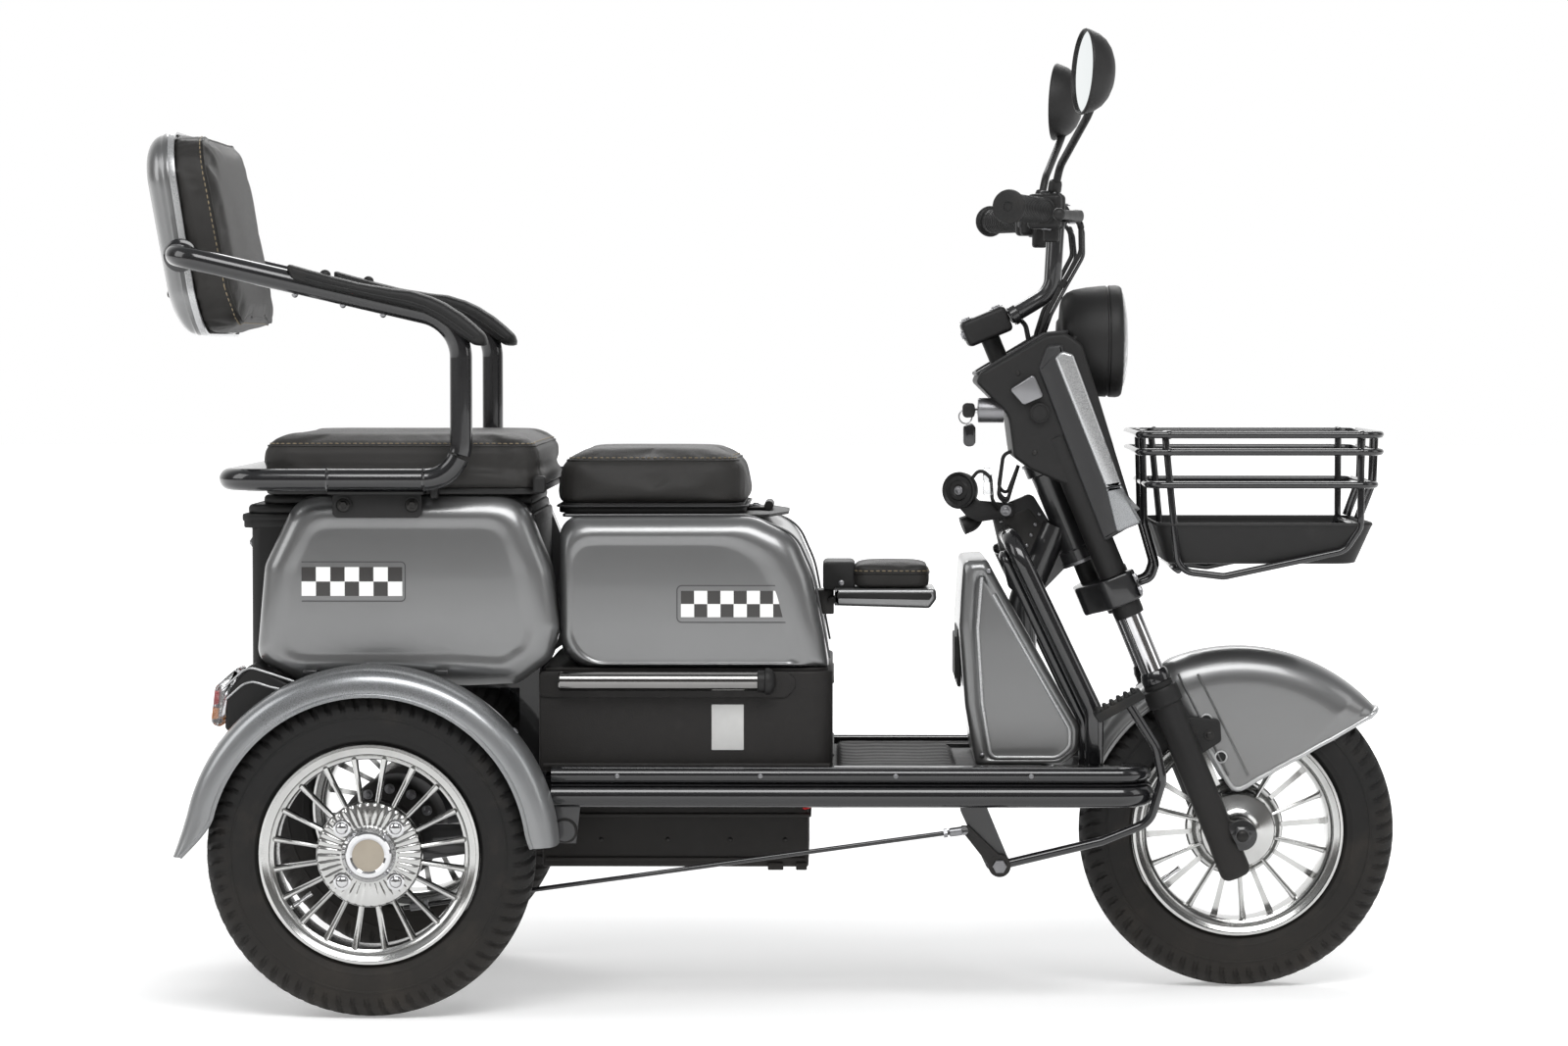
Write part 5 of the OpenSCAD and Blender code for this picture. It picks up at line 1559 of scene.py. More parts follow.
def dashCover():
    outline = [(260, 801), (344.5, 850), (370, 852), (391, 837), (455, 631), (468, 608), (434.6, 594),
               (419, 584.6), (380.6, 651.5), (324, 677), (303, 693), (296, 747), (254.5, 788)]
    shapes = paint("black", plate(outline, -dash["body"], dash["body"],
                                  [6, 14, 16, 14, 20, 5, 5, 5, 16, 12, 10, 24, 6], 6, "y", 0, 6))
    # top lip around the back of the cover, and the raised hump on the flank where the lock sits
    shapes += paint("grey", sweep(spaced(roundCorners([(257, -80, 799), (342, -80, 850), (372, -80, 853),
                                                       (372, 80, 853), (342, 80, 850), (257, 80, 799)], 14,
                                                      True), 200, True), circle(2.6, 10), (0, 0, 1), True))
    shapes += paint("silver", plate([(368, 848), (389, 836), (453, 631), (466, 610), (440, 640)], -83, 83,
                                    [8, 12, 12, 4, 10], 10, "y", 0, 5))
    for side in (-1, 1):
        shapes += paint("grey", flank([(334, 806), (345, 836), (366, 838), (368, 820), (448, 600), (434, 592),
                                       (419, 583.8)], side, dash["inner"], dash["bevel"],
                                      [4, 8, 4, 4, 4, 4, 4], 5, 4))
        shapes += paint("brightSilver",
                        flank([(355, 819), (364, 829), (379, 824), (441, 657), (421, 653)], side,
                              dash["inner"] + 2, dash["stripe"], [4, 7, 7, 1, 1], 4.0, 5))
        shapes += paint("fenderSilver", flank([(421, 652.5), (441, 656.5), (467.5, 609), (434.6, 595.0)],
                                              side, dash["inner"] + 2, dash["stripe"], [1, 1, 4, 4], 4.0, 5))
        # indicator button and its collar
        shapes += paint("black", lathe([(0.01, -4), (12.6, -4), (12.8, 6.2), (11.6, 7.2), (10.4, 7.0),
                                        (10.0, 5.6), (0.01, 5.4)], (336, side * dash["body"], 749),
                                       (0, side, 0), 40))
    # cover screws in the flank
    for x, z in ((308, 800), (330, 698)):
        shapes += paint("darkSteel", dome((x, -90, z), (0, -1, 0), 3.6, 1.6, 18),
                        dome((x, 90, z), (0, 1, 0), 3.6, 1.6, 18))
    piece("dashCover", "steering", shapes, ["dash_cover"])
    shapes = paint("steel", plate([(297, 779), (328, 799), (341, 770), (315, 759)], -99, -88, 4, 2, "y", 0,
                                  4))
    lo, hi = span("ignition_lock")
    middleLock = (lo + hi) / 2
    shapes += paint("steel", lathe([(0.01, 1.5), (6, 1.5), (7, 3), (15.4, 3), (16, 1.5), (16, -30),
                                    (0.01, -30)], (lo[0] - 1.0, middleLock[1], middleLock[2]), (-1, 0, 0),
                                   44))
    shapes += paint("darkSteel",
                    lathe([(0.01, 3.4), (6.6, 3.4), (7.4, 2.4), (7.4, -3)],
                          (lo[0] - 1.0, middleLock[1], middleLock[2]), (-1, 0, 0), 36))
    piece("ignitionLock", "steering", shapes, ["ignition_lock"])
    lo, hi = span("ignition_key")
    c = (lo + hi) / 2
    shapes = paint("black", plate([(lo[0], c[2] - 10), (lo[0], c[2] + 10), (lo[0] + 15, c[2] + 9),
                                   (lo[0] + 17, c[2]), (lo[0] + 15, c[2] - 9)], c[1] - 3.2, c[1] + 3.2,
                                  [6, 6, 4, 2, 4], 1.6))
    shapes += paint("chrome", roundedBox((lo[0] + 14, c[1] - 1.2, c[2] - 3.4),
                                         (hi[0], c[1] + 1.2, c[2] + 3.4), 0.9))
    ring = np.array([(lo[0] + 4 + 8.5 * math.sin(t), c[1] + 2.4 * math.sin(t), c[2] - 8 + 9 * math.cos(t))
                     for t in np.linspace(0, 2 * math.pi, 48, endpoint=False)])
    shapes += paint("steel", sweep(ring, circle(0.9, 8), (0, 1, 0), True))
    fob = plate([(lo[0] + 1, c[2] - 47), (lo[0] + 1, c[2] - 20), (lo[0] + 12, c[2] - 16),
                 (lo[0] + 17, c[2] - 22), (lo[0] + 17, c[2] - 47)], c[1] - 4, c[1] + 4, [7, 4, 4, 4, 7], 2.4)
    shapes += paint("gloss", fob)
    piece("ignitionKey", "key", shapes, ["ignition_key"])


lampHeight = 841


def onLamp(profile, sides):
    # a profile of (radius, x) turned about the headlight's axis
    return lathe(profile, (0, 0, lampHeight), (1, 0, 0), sides)


def headlight():
    rim = [(0.01, 362), (26, 362), (30, 365), (50, 367), (57, 369.5), (63, 375), (67, 384), (70, 400),
           (72.0, 418), (72.4, 425.5), (71.0, 426.6), (71.0, 428.6), (72.6, 429.8), (73, 438), (72, 443),
           (69.6, 445.6), (67.4, 445.4), (66.4, 442), (62, 428), (50, 410), (30, 398), (0.01, 394)]
    shapes = paint("black", onLamp(rim, 110))
    a = np.linspace(0.02, 1, 9)
    bowl = [(0.01, 398)] + [(60 * t, 398 + 38 * t * t) for t in a] + [(61, 440), (64, 440)]
    shapes += paint("chrome", onLamp(bowl, 96))
    shapes += paint("grey", onLamp([(0.01, 426), (15, 426), (18, 422), (18, 402), (14, 398)], 48))
    shapes += paint("darkSteel",
                    lathe([(5, 0), (9, 0), (9, 5), (5, 5)], (392, 0, lampHeight - 76), (0, 0, 1), 24, True))
    for y in (-62, 62):      # bracket ears either side, down to the fork clamp
        shapes += paint("black", plate([(362, 800), (386, 800), (404, 834), (396, 850), (380, 848),
                                        (360, 815)], min(y, y * 1.08), max(y, y * 1.08), 5, 1.5))
    piece("headlightShell", "steering", shapes, ["headlight_shell"])
    t = np.linspace(0, 1, 14)
    glass = [(0.01, 455.0)] + [(68.2 * math.sin(s * math.pi / 2),
                                444 + 11 * math.cos(s * math.pi / 2) ** 1.1) for s in t[1:]] + [(66.8, 441.5),
            (40, 446.0), (0.01, 449.5)]
    shapes = paint("lens", onLamp(glass, 110))
    piece("headlightLens", "steering", shapes, ["headlight_lens"])


dashCover()
headlight()
print("dash and lamp made")


# fork, stem and front frame
fork = {"ahead": 28.0, "side": 74.0}


def onLeg(profile, side, sides):
    # a profile of (radius, height up the steering axis) turned about a fork leg
    return steered(lathe(profile, (fork["ahead"], side * fork["side"], 0), (0, 0, 1), sides))


def onStem(profile, sides, closed=False):
    return steered(lathe(profile, (0, 0, 0), (0, 0, 1), sides, closed))


def forkParts():
    shapes = []
    wheelCentre = middle("front_tyre")
    for side in (-1, 1):
        y = side * fork["side"]
        leg = [(0.01, -541), (14, -541), (18, -538), (20, -532), (20, -500), (19.2, -490), (19.2, -330),
               (20, -322), (20, -300), (22.6, -298), (23, -295), (23, -279), (22, -276.4), (18.6, -275),
               (18.6, -269), (15.6, -268), (15.3, -300)]
        shapes += paint("black", onLeg(leg, side, 56))
        shapes += paint("gloss", onLeg([(15.6, -268), (18.8, -268), (19.2, -262), (17, -254), (15.4, -252)],
                                       side, 44))
        place = np.array((wheelCentre[0], y + side * 13, wheelCentre[2]))
        shapes += paint("black", lathe([(0.01, -26), (17, -26), (18, -24), (18, -2), (16.6, 0), (0.01, 0)],
                                       place, (0, side, 0), 48))
        shapes += paint("black", plate([(wheelCentre[0] - 34, 214), (wheelCentre[0] - 10, 224),
                                        (wheelCentre[0] + 16, 205), (wheelCentre[0] + 2, 188),
                                        (wheelCentre[0] - 26, 186)], y - 13, y + 13, [8, 12, 14, 12, 8], 4))
        shapes += paint("frame", bolt(place, (0, side, 0), 13.2, 9, 6, True))
        shapes += paint("darkSteel", dome(place + (0, side * 8, 0), (0, side, 0), 8, 4, 24))
        # fender bracket with two bolts, and the reflector bolt on the leg
        shapes += paint("black", flank([(518, 316), (528, 356), (572, 352), (574, 324), (546, 306)], side, 52,
                                       60, 6, 1.5))
        for x, z in ((536, 336), (558, 332)):
            shapes += paint("darkSteel", bolt((x, side * 60, z), (0, side, 0), 4.6, 3.0))
        spot = steerFrame((fork["ahead"] + 19, y, -292))[0]
        shapes += paint("steel", bolt(spot, steerWay((1, 0, 0)), 5, 4))
    shapes += paint("steel", lathe([(0.01, -93), (8, -93), (8, 93), (0.01, 93)], wheelCentre, (0, 1, 0), 32))
    piece("forkLegs", "fork_slider", shapes, ["fork_legs"])
    shapes = []
    for side in (-1, 1):
        shapes += paint("chrome", onLeg([(0.01, -440), (15, -440), (15, -172), (15, 92), (13.6, 94),
                                         (0.01, 94)], side, 48))
        shapes += paint("black", onLeg([(15.1, -176), (19, -175), (19.6, -170), (19.6, -158), (15.1, -157)],
                                       side, 44))
        shapes += paint("steel", onLeg([(0.01, 101), (7, 101), (11, 99), (12.6, 96), (12.6, 90), (0.01, 90)],
                                       side, 6))
        # cover tube between the clamps
        shapes += paint("black", onLeg([(15.1, -120), (18.2, -119), (18.2, 74), (15.1, 75)], side, 44))
    # an outline in (ahead, side) between two heights up the stem: the plate is drawn level, then leaned
    for low, high in ((-158, -120), (77, 91)):
        wide = [(-24, -30), (-18, -38), (8, -98), (48, -98), (56, -74), (40, -46), (34, 0), (40, 46),
                (56, 74), (48, 98), (8, 98), (-18, 38), (-24, 30)]
        wide = [(a, b * (0.90 if low > 0 else 1)) for a, b in wide]
        shapes += paint("frame", steered(plate(wide, low, high,
                                               [8, 20, 16, 16, 16, 30, 60, 30, 16, 16, 16, 20, 8], 3, "z", 0,
                                               4)))
    for side in (-1, 1):
        for level in (-148, -130):
            spot = steerFrame((50, side * 92, level))[0]
            shapes += paint("steel", bolt(spot, steerWay((1, 0, 0)), 5, 5))
    piece("forkTubes", "steering", shapes, ["fork_tubes"])
    shapes = paint("black", onStem([(0.01, -150), (12.4, -150), (12.4, 228), (0.01, 228)], 44))
    shapes += paint("steel", onStem([(12.5, 50.6), (21, 50.6), (21, 60), (17, 61), (17, 70), (12.5, 71)], 8))
    shapes += paint("black", steered(roundedBox((-30, -36, 222), (32, 36, 256), 6)))
    for side in (-1, 1):
        for ahead in (-20, 22):
            spot = steerFrame((ahead, side * 24, 256))[0]
            shapes += paint("steel", bolt(spot, steerWay((0, 0, 1)), 5.6, 3.6))
        spot = steerFrame((-30, side * 22, 239))[0]
        shapes += paint("steel", bolt(spot, steerWay((-1, 0, 0)), 5.0, 3.0))
    piece("steeringStem", "steering", shapes, ["steering_stem"])


def frontFrame():
    head = [(13.0, -90), (20, -90), (25, -88), (25, -74), (20.4, -72), (20, -60), (20, 18), (20.4, 32),
            (25, 34), (25, 48), (20, 50), (13.0, 50)]
    shapes = paint("frame", onStem(head, 60, True))
    shapes += paint("steel", onStem([(21, -92.5), (26.4, -92), (26.4, -88), (21, -87)], 48, True),
                    onStem([(21, 48), (26.4, 48.5), (26.4, 51.6), (21, 52)], 48, True))
    shapes += paint("frame", sweep(roundCorners([(362, 0, 600), (318, 0, 500), (318, 0, 282.5)], 60, False,
                                                14), circle(19, 40), (1, 0, 0)))
    gusset = [(276, 622), (330, 644), (384, 556), (330, 500), (300, 520)]
    shapes += paint("frame", plate(gusset, -6, 6, 10, 1.6))
    for low, high in ((-7.6, -5.5), (5.5, 7.6)):
        shapes += paint("darkSteel",
                        plate([(296, 612), (326, 624), (352, 590), (318, 548), (306, 556)], low, high, 6,
                              0.8))
    # spot welds along the pressed edge of the gusset
    line = spaced(np.array([(290, 606), (308, 560), (318, 530)]), 7)
    other = spaced(np.array([(340, 616), (326, 580), (312, 548)]), 6)
    for x, z in np.vstack([line, other]):
        for side in (-1, 1):
            shapes += paint("steel", dome((x, side * 7.2, z), (0, side, 0), 2.6, 1.5, 12))
    for place, direction in (((330, 0, 524), (-0.42, 0, 0.9)), ((318, 0, 300), (0, 0, 1))):
        shapes += paint("frame", lathe([(18.6, -4), (21, -2), (21.6, 0), (21, 2), (18.6, 4)], place,
                                       direction, 40, True))
    piece("frontFrame", "chassis", shapes, ["front_frame"])
    c, axis = np.array((238.0, -8.0, 647.0)), (-0.5, -0.866, 0)
    shell = [(0.01, 7.0), (6, 7.0), (8, 8.6), (12, 8.6), (14, 6.6), (19, 6.0), (22, 8.6), (24, 7.6),
             (24.2, 3), (23, -4), (20, -8), (0.01, -9)]
    shapes = paint("black", lathe(shell, c, axis, 72))
    shapes += paint("steel", bolt(c + unit(np.array(axis)) * 7, axis, 4, 2.6))
    shapes += paint("black", plate([(232, 628), (238, 640), (262, 634), (306, 630), (306, 613), (262, 606),
                                    (246, 612)], -14.5, -7, [4, 6, 6, 3, 3, 10, 6], 1.5))
    shapes += paint("steel", bolt((296, -14.5, 621), (0, -1, 0), 5, 3))
    # spiral horn mouth turned down, and its pair of wires
    mouth = roundCorners([(244, 4, 640), (262, 8, 624), (256, 6, 606), (240, 4, 600)], 14, False, 8)
    grow = np.linspace(7, 12, len(mouth))
    shapes += paint("black", sweep(mouth, circle(1, 24), (0, 1, 0), False, grow))
    for dy, colour in ((-4, "black"), (0, "gloss"), (4, "black")):
        shapes += paint(colour, tube([(246, dy - 14, 655), (262, dy - 20, 676), (276, dy - 22, 664),
                                      (278, dy - 20, 636), (286, dy - 12, 622)], 2.3, 9, 10))
    for z, dy in ((668, -20), (650, -26)):
        shapes += paint("lens", roundedBox((266, dy - 6, z - 9), (278, dy + 6, z + 9), 2.5))
    piece("horn", "chassis", shapes, ["horn"])


forkParts()
frontFrame()
print("fork and front frame made")


# handlebar, controls, levers and mirrors
gripOrigin = np.array((333.88, 192.64, 1004.52))


def gripPlace(local, side):
    # local axes of the bar's bent end: x down, y rearward against the grip, z outwards along it
    local = np.atleast_2d(np.asarray(local, float))
    out = unit(np.array((-62.0, 164.0, 2.0)))
    ahead = unit(np.array((164.0, 62.0, 0.0)))
    up = np.cross(out, ahead) * np.sign(np.cross(out, ahead)[2])
    spot = gripOrigin - local[:, :1] * up - local[:, 1:2] * ahead + local[:, 2:3] * out
    return spot * (1, side, 1)


def onGrip(shape, side):
    return gripPlace(shape[0], side), shape[1]


def handlebar():
    shapes = []
    for side in (-1, 1):
        shapes += paint("frame", tube([(301, side * 24, 872), (356, side * 24, 905), (361, side * 30, 992.7)],
                                      10, 34, 28, steps=16))
        shapes += paint("frame", lathe([(10, 0), (13, 0.4), (13, 9), (10, 10)], (303, side * 24, 873.2),
                                       (55, 0, 33), 32, True))
    shapes += paint("frame", tube([(288, -314, 1006), (350, -150, 1004), (361, -60, 1004), (361, 60, 1004),
                                   (350, 150, 1004), (288, 314, 1006)], 11, 46, 32, steps=12))
    for side in (-1, 1):       # bar clamps with two bolts each
        shapes += paint("black", lathe([(11.2, -14), (16, -13.4), (17, -12), (17, 12), (16, 13.4),
                                        (11.2, 14)], (361, side * 30, 1004), (0, 1, 0), 40, True))
        for x in (350, 372):
            shapes += paint("steel", bolt((x, side * 30, 1016), (0, 0, 1), 4.2, 3))
    piece("handlebar", "steering", shapes, ["handlebar"])


def gripShape(side):
    # ribbed rubber: rings of small ridges between two collars, and a domed end
    length = 136.0
    h = np.linspace(3, length - 9, 220)
    wave = 0.75 * np.clip(np.sin(h * 2 * math.pi / 6.2) * 1.8, -1, 1)
    r = 16.2 + wave * np.clip((h - 10) / 3, 0, 1) * np.clip((length - 18 - h) / 3, 0, 1)
    profile = [(11.4, 0), (17.6, 0.4), (18, 2)] + list(zip(r, h)) + [(18.6, length - 8.6), (20.5, length - 7),
                                                                     (21.3, length - 4), (20.5, length - 1),
                                                                     (17, length + 0.6), (6, length + 1.2),
                                                                     (5.4, length + 0.2),
                                                                     (0.01, length + 0.2)]
    return onGrip(lathe(profile, (0, 0, 0), (0, 0, 1), 56), side)


def controls():
    shapes = []
    for side in (-1, 1):
        for local, radius, finish in ((((-22, -22, -32), (22, 22, -17.5)), 6, "black"),
                                      (((-22, -22, -17), (22, 22, -2.4)), 6, "black"),
                                      (((8, -10, -44), (38, 10, -33)), 4, "black")):
            shapes += paint(finish, onGrip(roundedBox(local[0], local[1], radius), side))
        for x, y, colour in ((-8, 20.5, "red"), (6, 20.5, "grey"), (-2, 20.5, "amber")):
            z = -24 if colour != "amber" else -9
            shapes += paint(colour, onGrip(roundedBox((x - 4.4, y - 3, z - 3.6), (x + 4.4, y + 4.2, z + 3.6),
                                                      1.8), side))
        shapes += paint("grey", onGrip(lathe([(0.01, 4), (4.6, 4), (6, 3), (6, 0)], (-22, 2, -16), (-1, 0, 0),
                                             24), side))
        shapes += paint("black", onGrip(lathe([(0.01, 10), (7.6, 10), (8.6, 8.6), (8.6, -5), (0.01, -5)],
                                              (4, -31, -21), (1, 0, 0), 32), side))
        for level in (-27, -9):
            shapes += paint("steel", onGrip(dome((22, 0, level), (1, 0, 0), 3.4, 1.8, 18), side))
        # foot of the mirror, its nut and rubber boot
        foot = np.array((350, side * 176, 1031.0))
        shapes += paint("black", lathe([(11, -24), (12, -20), (12, -8), (9, -4), (7.6, -4), (0.01, -4)], foot,
                                       (0.0, 0, 1), 32))
        shapes += paint("steel", lathe([(0.01, -1), (8.2, -1), (8.6, -5), (0.01, -5.4)], foot, (0, 0, 1), 6))
    piece("controls", "steering", shapes, ["controls"])


def lever(label, side):
    path = roundCorners([(6, -33, -19), (8, -58, 20), (10, -64, 126)], 26, False, 14)
    path = spaced(path, 46)
    grow = np.interp(np.linspace(0, 1, 46), [0, 0.12, 0.4, 0.8, 1], [1.1, 1.25, 1.1, 0.9, 0.95])
    # a flat oval blade with a ball at its end
    blade = sweep(path, circle(4.3, 20) * (0.78, 1.5), (1, 0, 0), False, grow)
    shapes = paint("black", onGrip(blade, side), onGrip(ball((10, -64, 131), (0, 0, 1), 8), side))
    shapes += paint("steel", onGrip(lathe([(0.01, 3.4), (4.2, 3.2), (4.8, 1.2), (4.8, -2), (0.01, -2)],
                                          (12.6, -33, -19), (1, 0, 0), 24), side))
    piece("brakeLever" + label.title(), "lever_" + label, shapes, ["brake_lever_" + label])


def mirror(label, side):
    foot = np.array((350, side * 176, 1031.0))
    stem = [foot - (0, 0, 3), (356, side * 186, 1060), (384, side * 318, 1118), (391, side * 327, 1138)]
    shapes = paint("black", tube(stem, 5, 30, 24, steps=14))
    shapes += paint("black", lathe([(5.2, -4), (8, -3.4), (8.6, 0), (8.6, 8), (7.6, 12), (5.2, 13)], foot,
                                   (0.12, side * 0.3, 1), 32, True))
    centre = np.array((384, side * 328, 1170.0))
    face = unit(np.array((-0.97, side * 0.2, 0.05)))
    shapes += paint("black", ball(stem[3], (0, 0, 1), 9))
    # deep bowl: domed back, rolled rim standing proud of the glass
    bowl = [(0.01, -30), (12, -29.4), (24, -27.0), (34, -22.4), (42, -16), (47.6, -8), (50.8, 0), (52.6, 5.4),
            (53, 7), (52.4, 8.6), (50.6, 9), (49.8, 8), (49.4, 5.6), (0.01, 5.6)]
    shapes += paint("black", lathe(bowl, centre, face, 96))
    a = np.linspace(0, 1, 10)
    glass = [(0.01, 7.4)] + [(49.2 * t, 5.9 + 1.5 * (1 - t * t)) for t in a[1:]] + [(49.2, 4.4), (0.01, 4.4)]
    shapes += paint("mirror", lathe(glass, centre, face, 96))
    piece("mirror" + label.title(), "mirror_arm_" + label, shapes, ["mirror_" + label])


def cables():
    route = np.array([(362, 166.5, 1004), (372, 146, 1003), (386, 122, 988), (388, 98, 955), (366, 80, 915),
                      (348, 68, 880), (338, 58, 850), (338, 52, 812)], float)
    shapes = []
    for side in (-1, 1):
        shapes += paint("black", tube(route * (1, side, 1), 3, 24, 16, steps=12))
        second = (route[:-1] + np.array((4, -9, -5))) * (1, side, 1)
        second[0] = (358, side * 158, 1004)
        shapes += paint("gloss", tube(np.vstack([second, [(342, side * 44, 815)]]), 2.3, 24, 14, steps=12))
        shapes += paint("black", tube([(300, side * 8, 884), (322, side * 14, 862), (328, side * 20, 832)],
                                      2.6, 16, 14, steps=10))
        for k in (2, 4):
            spot, direction = route[k] * (1, side, 1), (route[k + 1] - route[k - 1]) * (1, side, 1)
            shapes += paint("grip", lathe([(3.2, -5), (4.2, -4), (4.2, 4), (3.2, 5)], spot, direction, 18,
                                          True))
    # loop of wiring below the dash cover
    for dy, drop in ((-34, 58), (-27, 50), (-20, 62)):
        shapes += paint("black", tube([(312, dy, 702), (292, dy, 694), (286, dy + 2, 702 - drop),
                                       (297, dy + 4, 698 - drop * 1.12), (312, dy + 8, 680)], 2.3, 11, 12,
                                      steps=9))
    piece("cables", "steering", shapes, ["cables"])


handlebar()
controls()
for label, side in bothSides:
    lever(label, side)
    mirror(label, side)
piece("leftGrip", "steering", paint("grip", gripShape(1)), ["left_grip"])
piece("throttleGrip", "throttle", paint("grip", gripShape(-1)), ["throttle_grip"])
cables()
print("handlebar made")


# basket
def basket():
    shapes, radius = [], 4.5
    for z, back, front, half in ((722, 462, 770, 135), (700, 462, 770, 135), (658, 474, 764, 131)):
        loop = roundCorners([(back, -half, z), (front, -half, z), (front, half, z), (back, half, z)], 22,
                            True, 12)
        shapes += paint("gloss", sweep(loop, circle(radius, 18), (0, 0, 1), True))
    for side in (-1, 1):
        y = side * 125.8
        shapes += paint("gloss", tube([(494, y, 727), (512, y, 548), (570, y, 541), (724, y, 574),
                                       (744, y, 604), (744, y, 727)], radius, 24, 18, steps=12))
        shapes += paint("gloss", tube([(471.3, side * 40, 727), (474.5, side * 40, 606),
                                       (490, side * 40, 552), (484, side * 40, 534),
                                       (464.6, side * 40, 527.4)], radius, 16, 18, steps=10))
        for k in (0.33, 0.66):      # thin uprights across the nose
            shapes += paint("gloss", tube([(768, side * 130 * k, 722), (766, side * 130 * k, 660),
                                           (748, side * 126 * k, 612)], 3.0, 20, 12))
    shapes += paint("gloss", tube([(744, -126, 604), (744, 126, 604)], radius, 10, 18))
    shapes += paint("gloss", tube([(512, -126, 549), (512, 126, 549)], radius, 10, 18))
    shapes += paint("gloss", plate([(455, -46), (470, -46), (470, 46), (455, 46)], 521, 531, 4, 1.5, "z"))
    for side in (-1, 1):
        shapes += paint("steel", bolt((462, side * 40, 531), (0, 0, 1), 5, 3))
        for x, z in ((499, 722), (744, 722), (499, 700), (744, 700)):
            shapes += paint("gloss", dome((x, side * 135, z), (0, side, 0), 5.6, 4.8, 16))
    piece("basketFrame", "steering", shapes, ["basket_frame"])
    floorLine = roundCorners([(500, -119), (740, -119), (740, 119), (500, 119)], 26, True, 10)
    rimLine = roundCorners([(484, -129), (760, -129), (760, 129), (484, 129)], 26, True, 10)
    # walls rise from the floor's outline to the rim's, then turn over and come back down inside
    rings = [onPlane(floorLine * 0.96 + floorLine.mean(0) * 0.04, 556.6, "z")]
    for t in np.linspace(0.02, 1, 12):
        rings.append(onPlane(floorLine * (1 - t) + rimLine * t, 557 + 47 * t, "z"))
    rings += [onPlane(inset(rimLine, -2.0), 606.5, "z"), onPlane(inset(rimLine, -1.0), 609.6, "z"),
              onPlane(inset(rimLine, 2.0), 609.6, "z"), onPlane(inset(rimLine, 3.2), 606.5, "z")]
    for t in np.linspace(1, 0.06, 10):
        rings.append(onPlane(inset(floorLine * (1 - t) + rimLine * t, 3.0), 560 + 44 * t, "z"))
    shapes = paint("black", grid(np.array(rings)))
    for k in range(5):
        x = 530 + k * 45
        shapes += paint("black", roundedBox((x - 5, -104, 557), (x + 5, 104, 563), 2))
    piece("basketTray", "steering", shapes, ["basket_tray"])


# brake pedal, rod and rear axle
def pedalParts():
    path = [(281, -213, 181), (294.9, -213, 184.4), (410, -213, 212), (470, -213, 236), (486, -213, 290),
            (478, -213, 330), (443.5, -213, 384.9)]
    bar = roundCorners(path, 30, False, 14)
    flat = circle(6.4, 28) * (0.9, 1.05)
    shapes = paint("gloss", sweep(bar, flat, (0, 1, 0)))
    shapes += paint("black", lathe([(9, -16), (14, -15), (14, 15), (9, 16)], (281, -205, 181), (0, 1, 0), 40,
                                   True), plate([(228, 232), (242, 232), (292, 184), (284, 172), (272, 176)],
                                                -220, -214, [6, 6, 10, 8, 10], 1.6))
    shapes += paint("steel", lathe([(0.01, 0), (9, 0), (9, 5), (7.4, 6.5), (0.01, 6.5)], (281, -221, 181),
                                   (0, -1, 0), 6),
                    lathe([(0.01, 0), (5.4, 0), (5.4, 4), (0.01, 4.6)], (236, -220, 226), (0, -1, 0), 24))
    # rubber tread pad: a thick plate with four rows of studs facing the rider
    lean = unit(np.array((58.0, 0, 32.0)))
    face = unit(np.array((-32.0, 0, 58.0)))
    corner = np.array((398.0, 0, 373.0))
    pad = plate([(398, 373), (456, 405), (463, 394.5), (405, 362.5)], -238, -188, 3.2, 3)
    shapes += paint("grip", pad)
    for row in range(6):
        for column in range(5):
            spot = corner + lean * (8 + row * 10) + (0, -232 + column * 9.6, 0)
            shapes += paint("grip", roundedBox(spot - (2.8, 3.2, 2.8) + face * 0.6,
                                               spot + (2.8, 3.2, 2.8) + face * 0.6, 1.6, 2))
    piece("brakePedal", "pedal", shapes, ["brake_pedal"])
    rod = [(242, -222.3, 227), (-470, -222.3, 127.8)]
    shapes = paint("gloss", tube(rod, 3, 0, 16))
    direction = unit(np.array(rod[1], float) - rod[0])
    for spot, way in ((np.array(rod[0], float), direction), (np.array(rod[1], float), -direction)):
        shapes += paint("steel", lathe([(3.1, 8), (5.6, 9), (5.6, 24), (3.1, 25)], spot, way, 20, True),
                        lathe([(3.1, 27), (6, 27), (6, 32), (3.1, 32)], spot, way, 6, True))
    piece("brakeRod", "rod", shapes, ["brake_rod"])


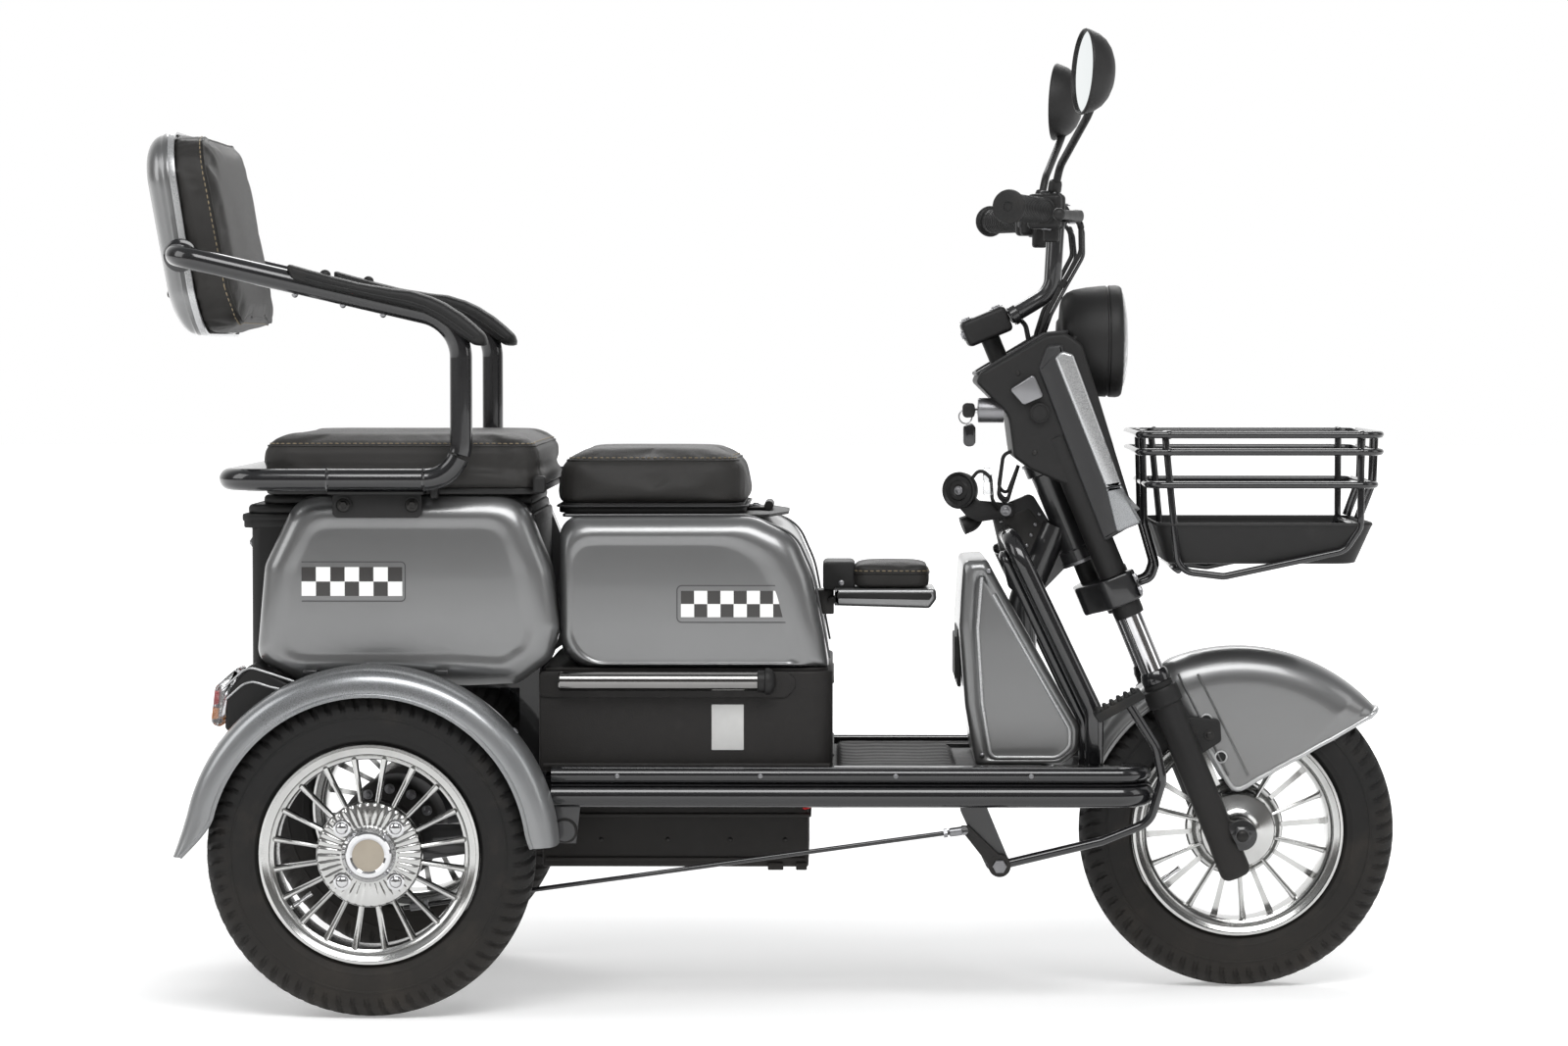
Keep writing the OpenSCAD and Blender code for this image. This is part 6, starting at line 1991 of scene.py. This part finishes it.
def swingArm():
    axle = middle("rear_tyre_right") * (1, 0, 1)
    pivot = np.array((-266.0, 0, 226))
    shapes = paint("frame", lathe([(0.01, -214), (24, -214), (24, -70), (30, -66), (30, 66), (24, 70),
                                   (24, 214), (0.01, 214)], axle, (0, 1, 0), 56))
    shapes += paint("case", lathe([(24, -59.5), (50, -59), (62, -52), (66, -44), (66, 44), (62, 52), (50, 59),
                                   (24, 59.5)], axle, (0, 1, 0), 96, True))
    for k in range(12):
        t = math.radians(k * 30)
        out = np.array((math.cos(t), 0, math.sin(t)))
        shapes += paint("steel", bolt(axle + out * 56 + (0, -58.6, 0), (0, -1, 0), 4.4, 4),
                        bolt(axle + out * 56 + (0, 58.6, 0), (0, 1, 0), 4.4, 4))
    for side in (-1, 1):
        arm = [(pivot[0] + 12, pivot[2] + 8), (pivot[0] + 8, pivot[2] - 12), (axle[0] + 12, axle[2] - 25),
               (axle[0] - 22, axle[2] - 14), (axle[0] - 22, axle[2] + 16), (axle[0] + 8, axle[2] + 26)]
        shapes += paint("frame", flank(arm, side, 200.2, 213.8, [8, 8, 18, 18, 18, 18], 2))
        shapes += paint("frame", lathe([(8.6, -12), (15, -11), (15, 11), (8.6, 12)],
                                       pivot + (0, side * 209, 0), (0, 1, 0), 40, True))
        shapes += paint("case", lathe([(0.01, 4), (52, 4), (58, 3), (60, 0.6), (60, 0), (0.01, 0)],
                                      axle + (0, side * 214, 0), (0, side, 0), 80))
    piece("swingArm", "rear_axle", shapes, ["swing_arm"])


def pivotBolts():
    shapes = []
    for side in (-1, 1):
        place = (-266, side * 222, 226)
        shapes += paint("black", lathe([(0.01, -2), (15, -2), (16, 0), (16, 6), (14.6, 8), (9, 8), (8.6, 6.4),
                                        (0.01, 6.4)], place, (0, side, 0), 44))
        shapes += paint("alloy", lathe([(5.2, 6), (8.4, 6), (8.4, 8.6), (7.6, 9.6), (6, 9.6), (5.2, 8.8)],
                                       place, (0, side, 0), 36, True))
        shapes += paint("steel", bolt((place[0], side * 228.4, place[2]), (0, side, 0), 5, 3.4))
    piece("pivotBolts", "chassis", shapes)


basket()
pedalParts()
swingArm()
pivotBolts()


# the frame kept from the design, and the hidden pack
for node, finish in (("main_frame", "frame"), ("battery_pack", "case")):
    kept = bpy.data.objects[node]
    for k in range(max(1, len(kept.data.materials))):
        if kept.data.materials:
            kept.data.materials[k] = finishes[finish]
        else:
            kept.data.materials.append(finishes[finish])
print("basket, pedal and axle made")


# the view transform
bpy.context.scene.view_settings.view_transform = "Standard"
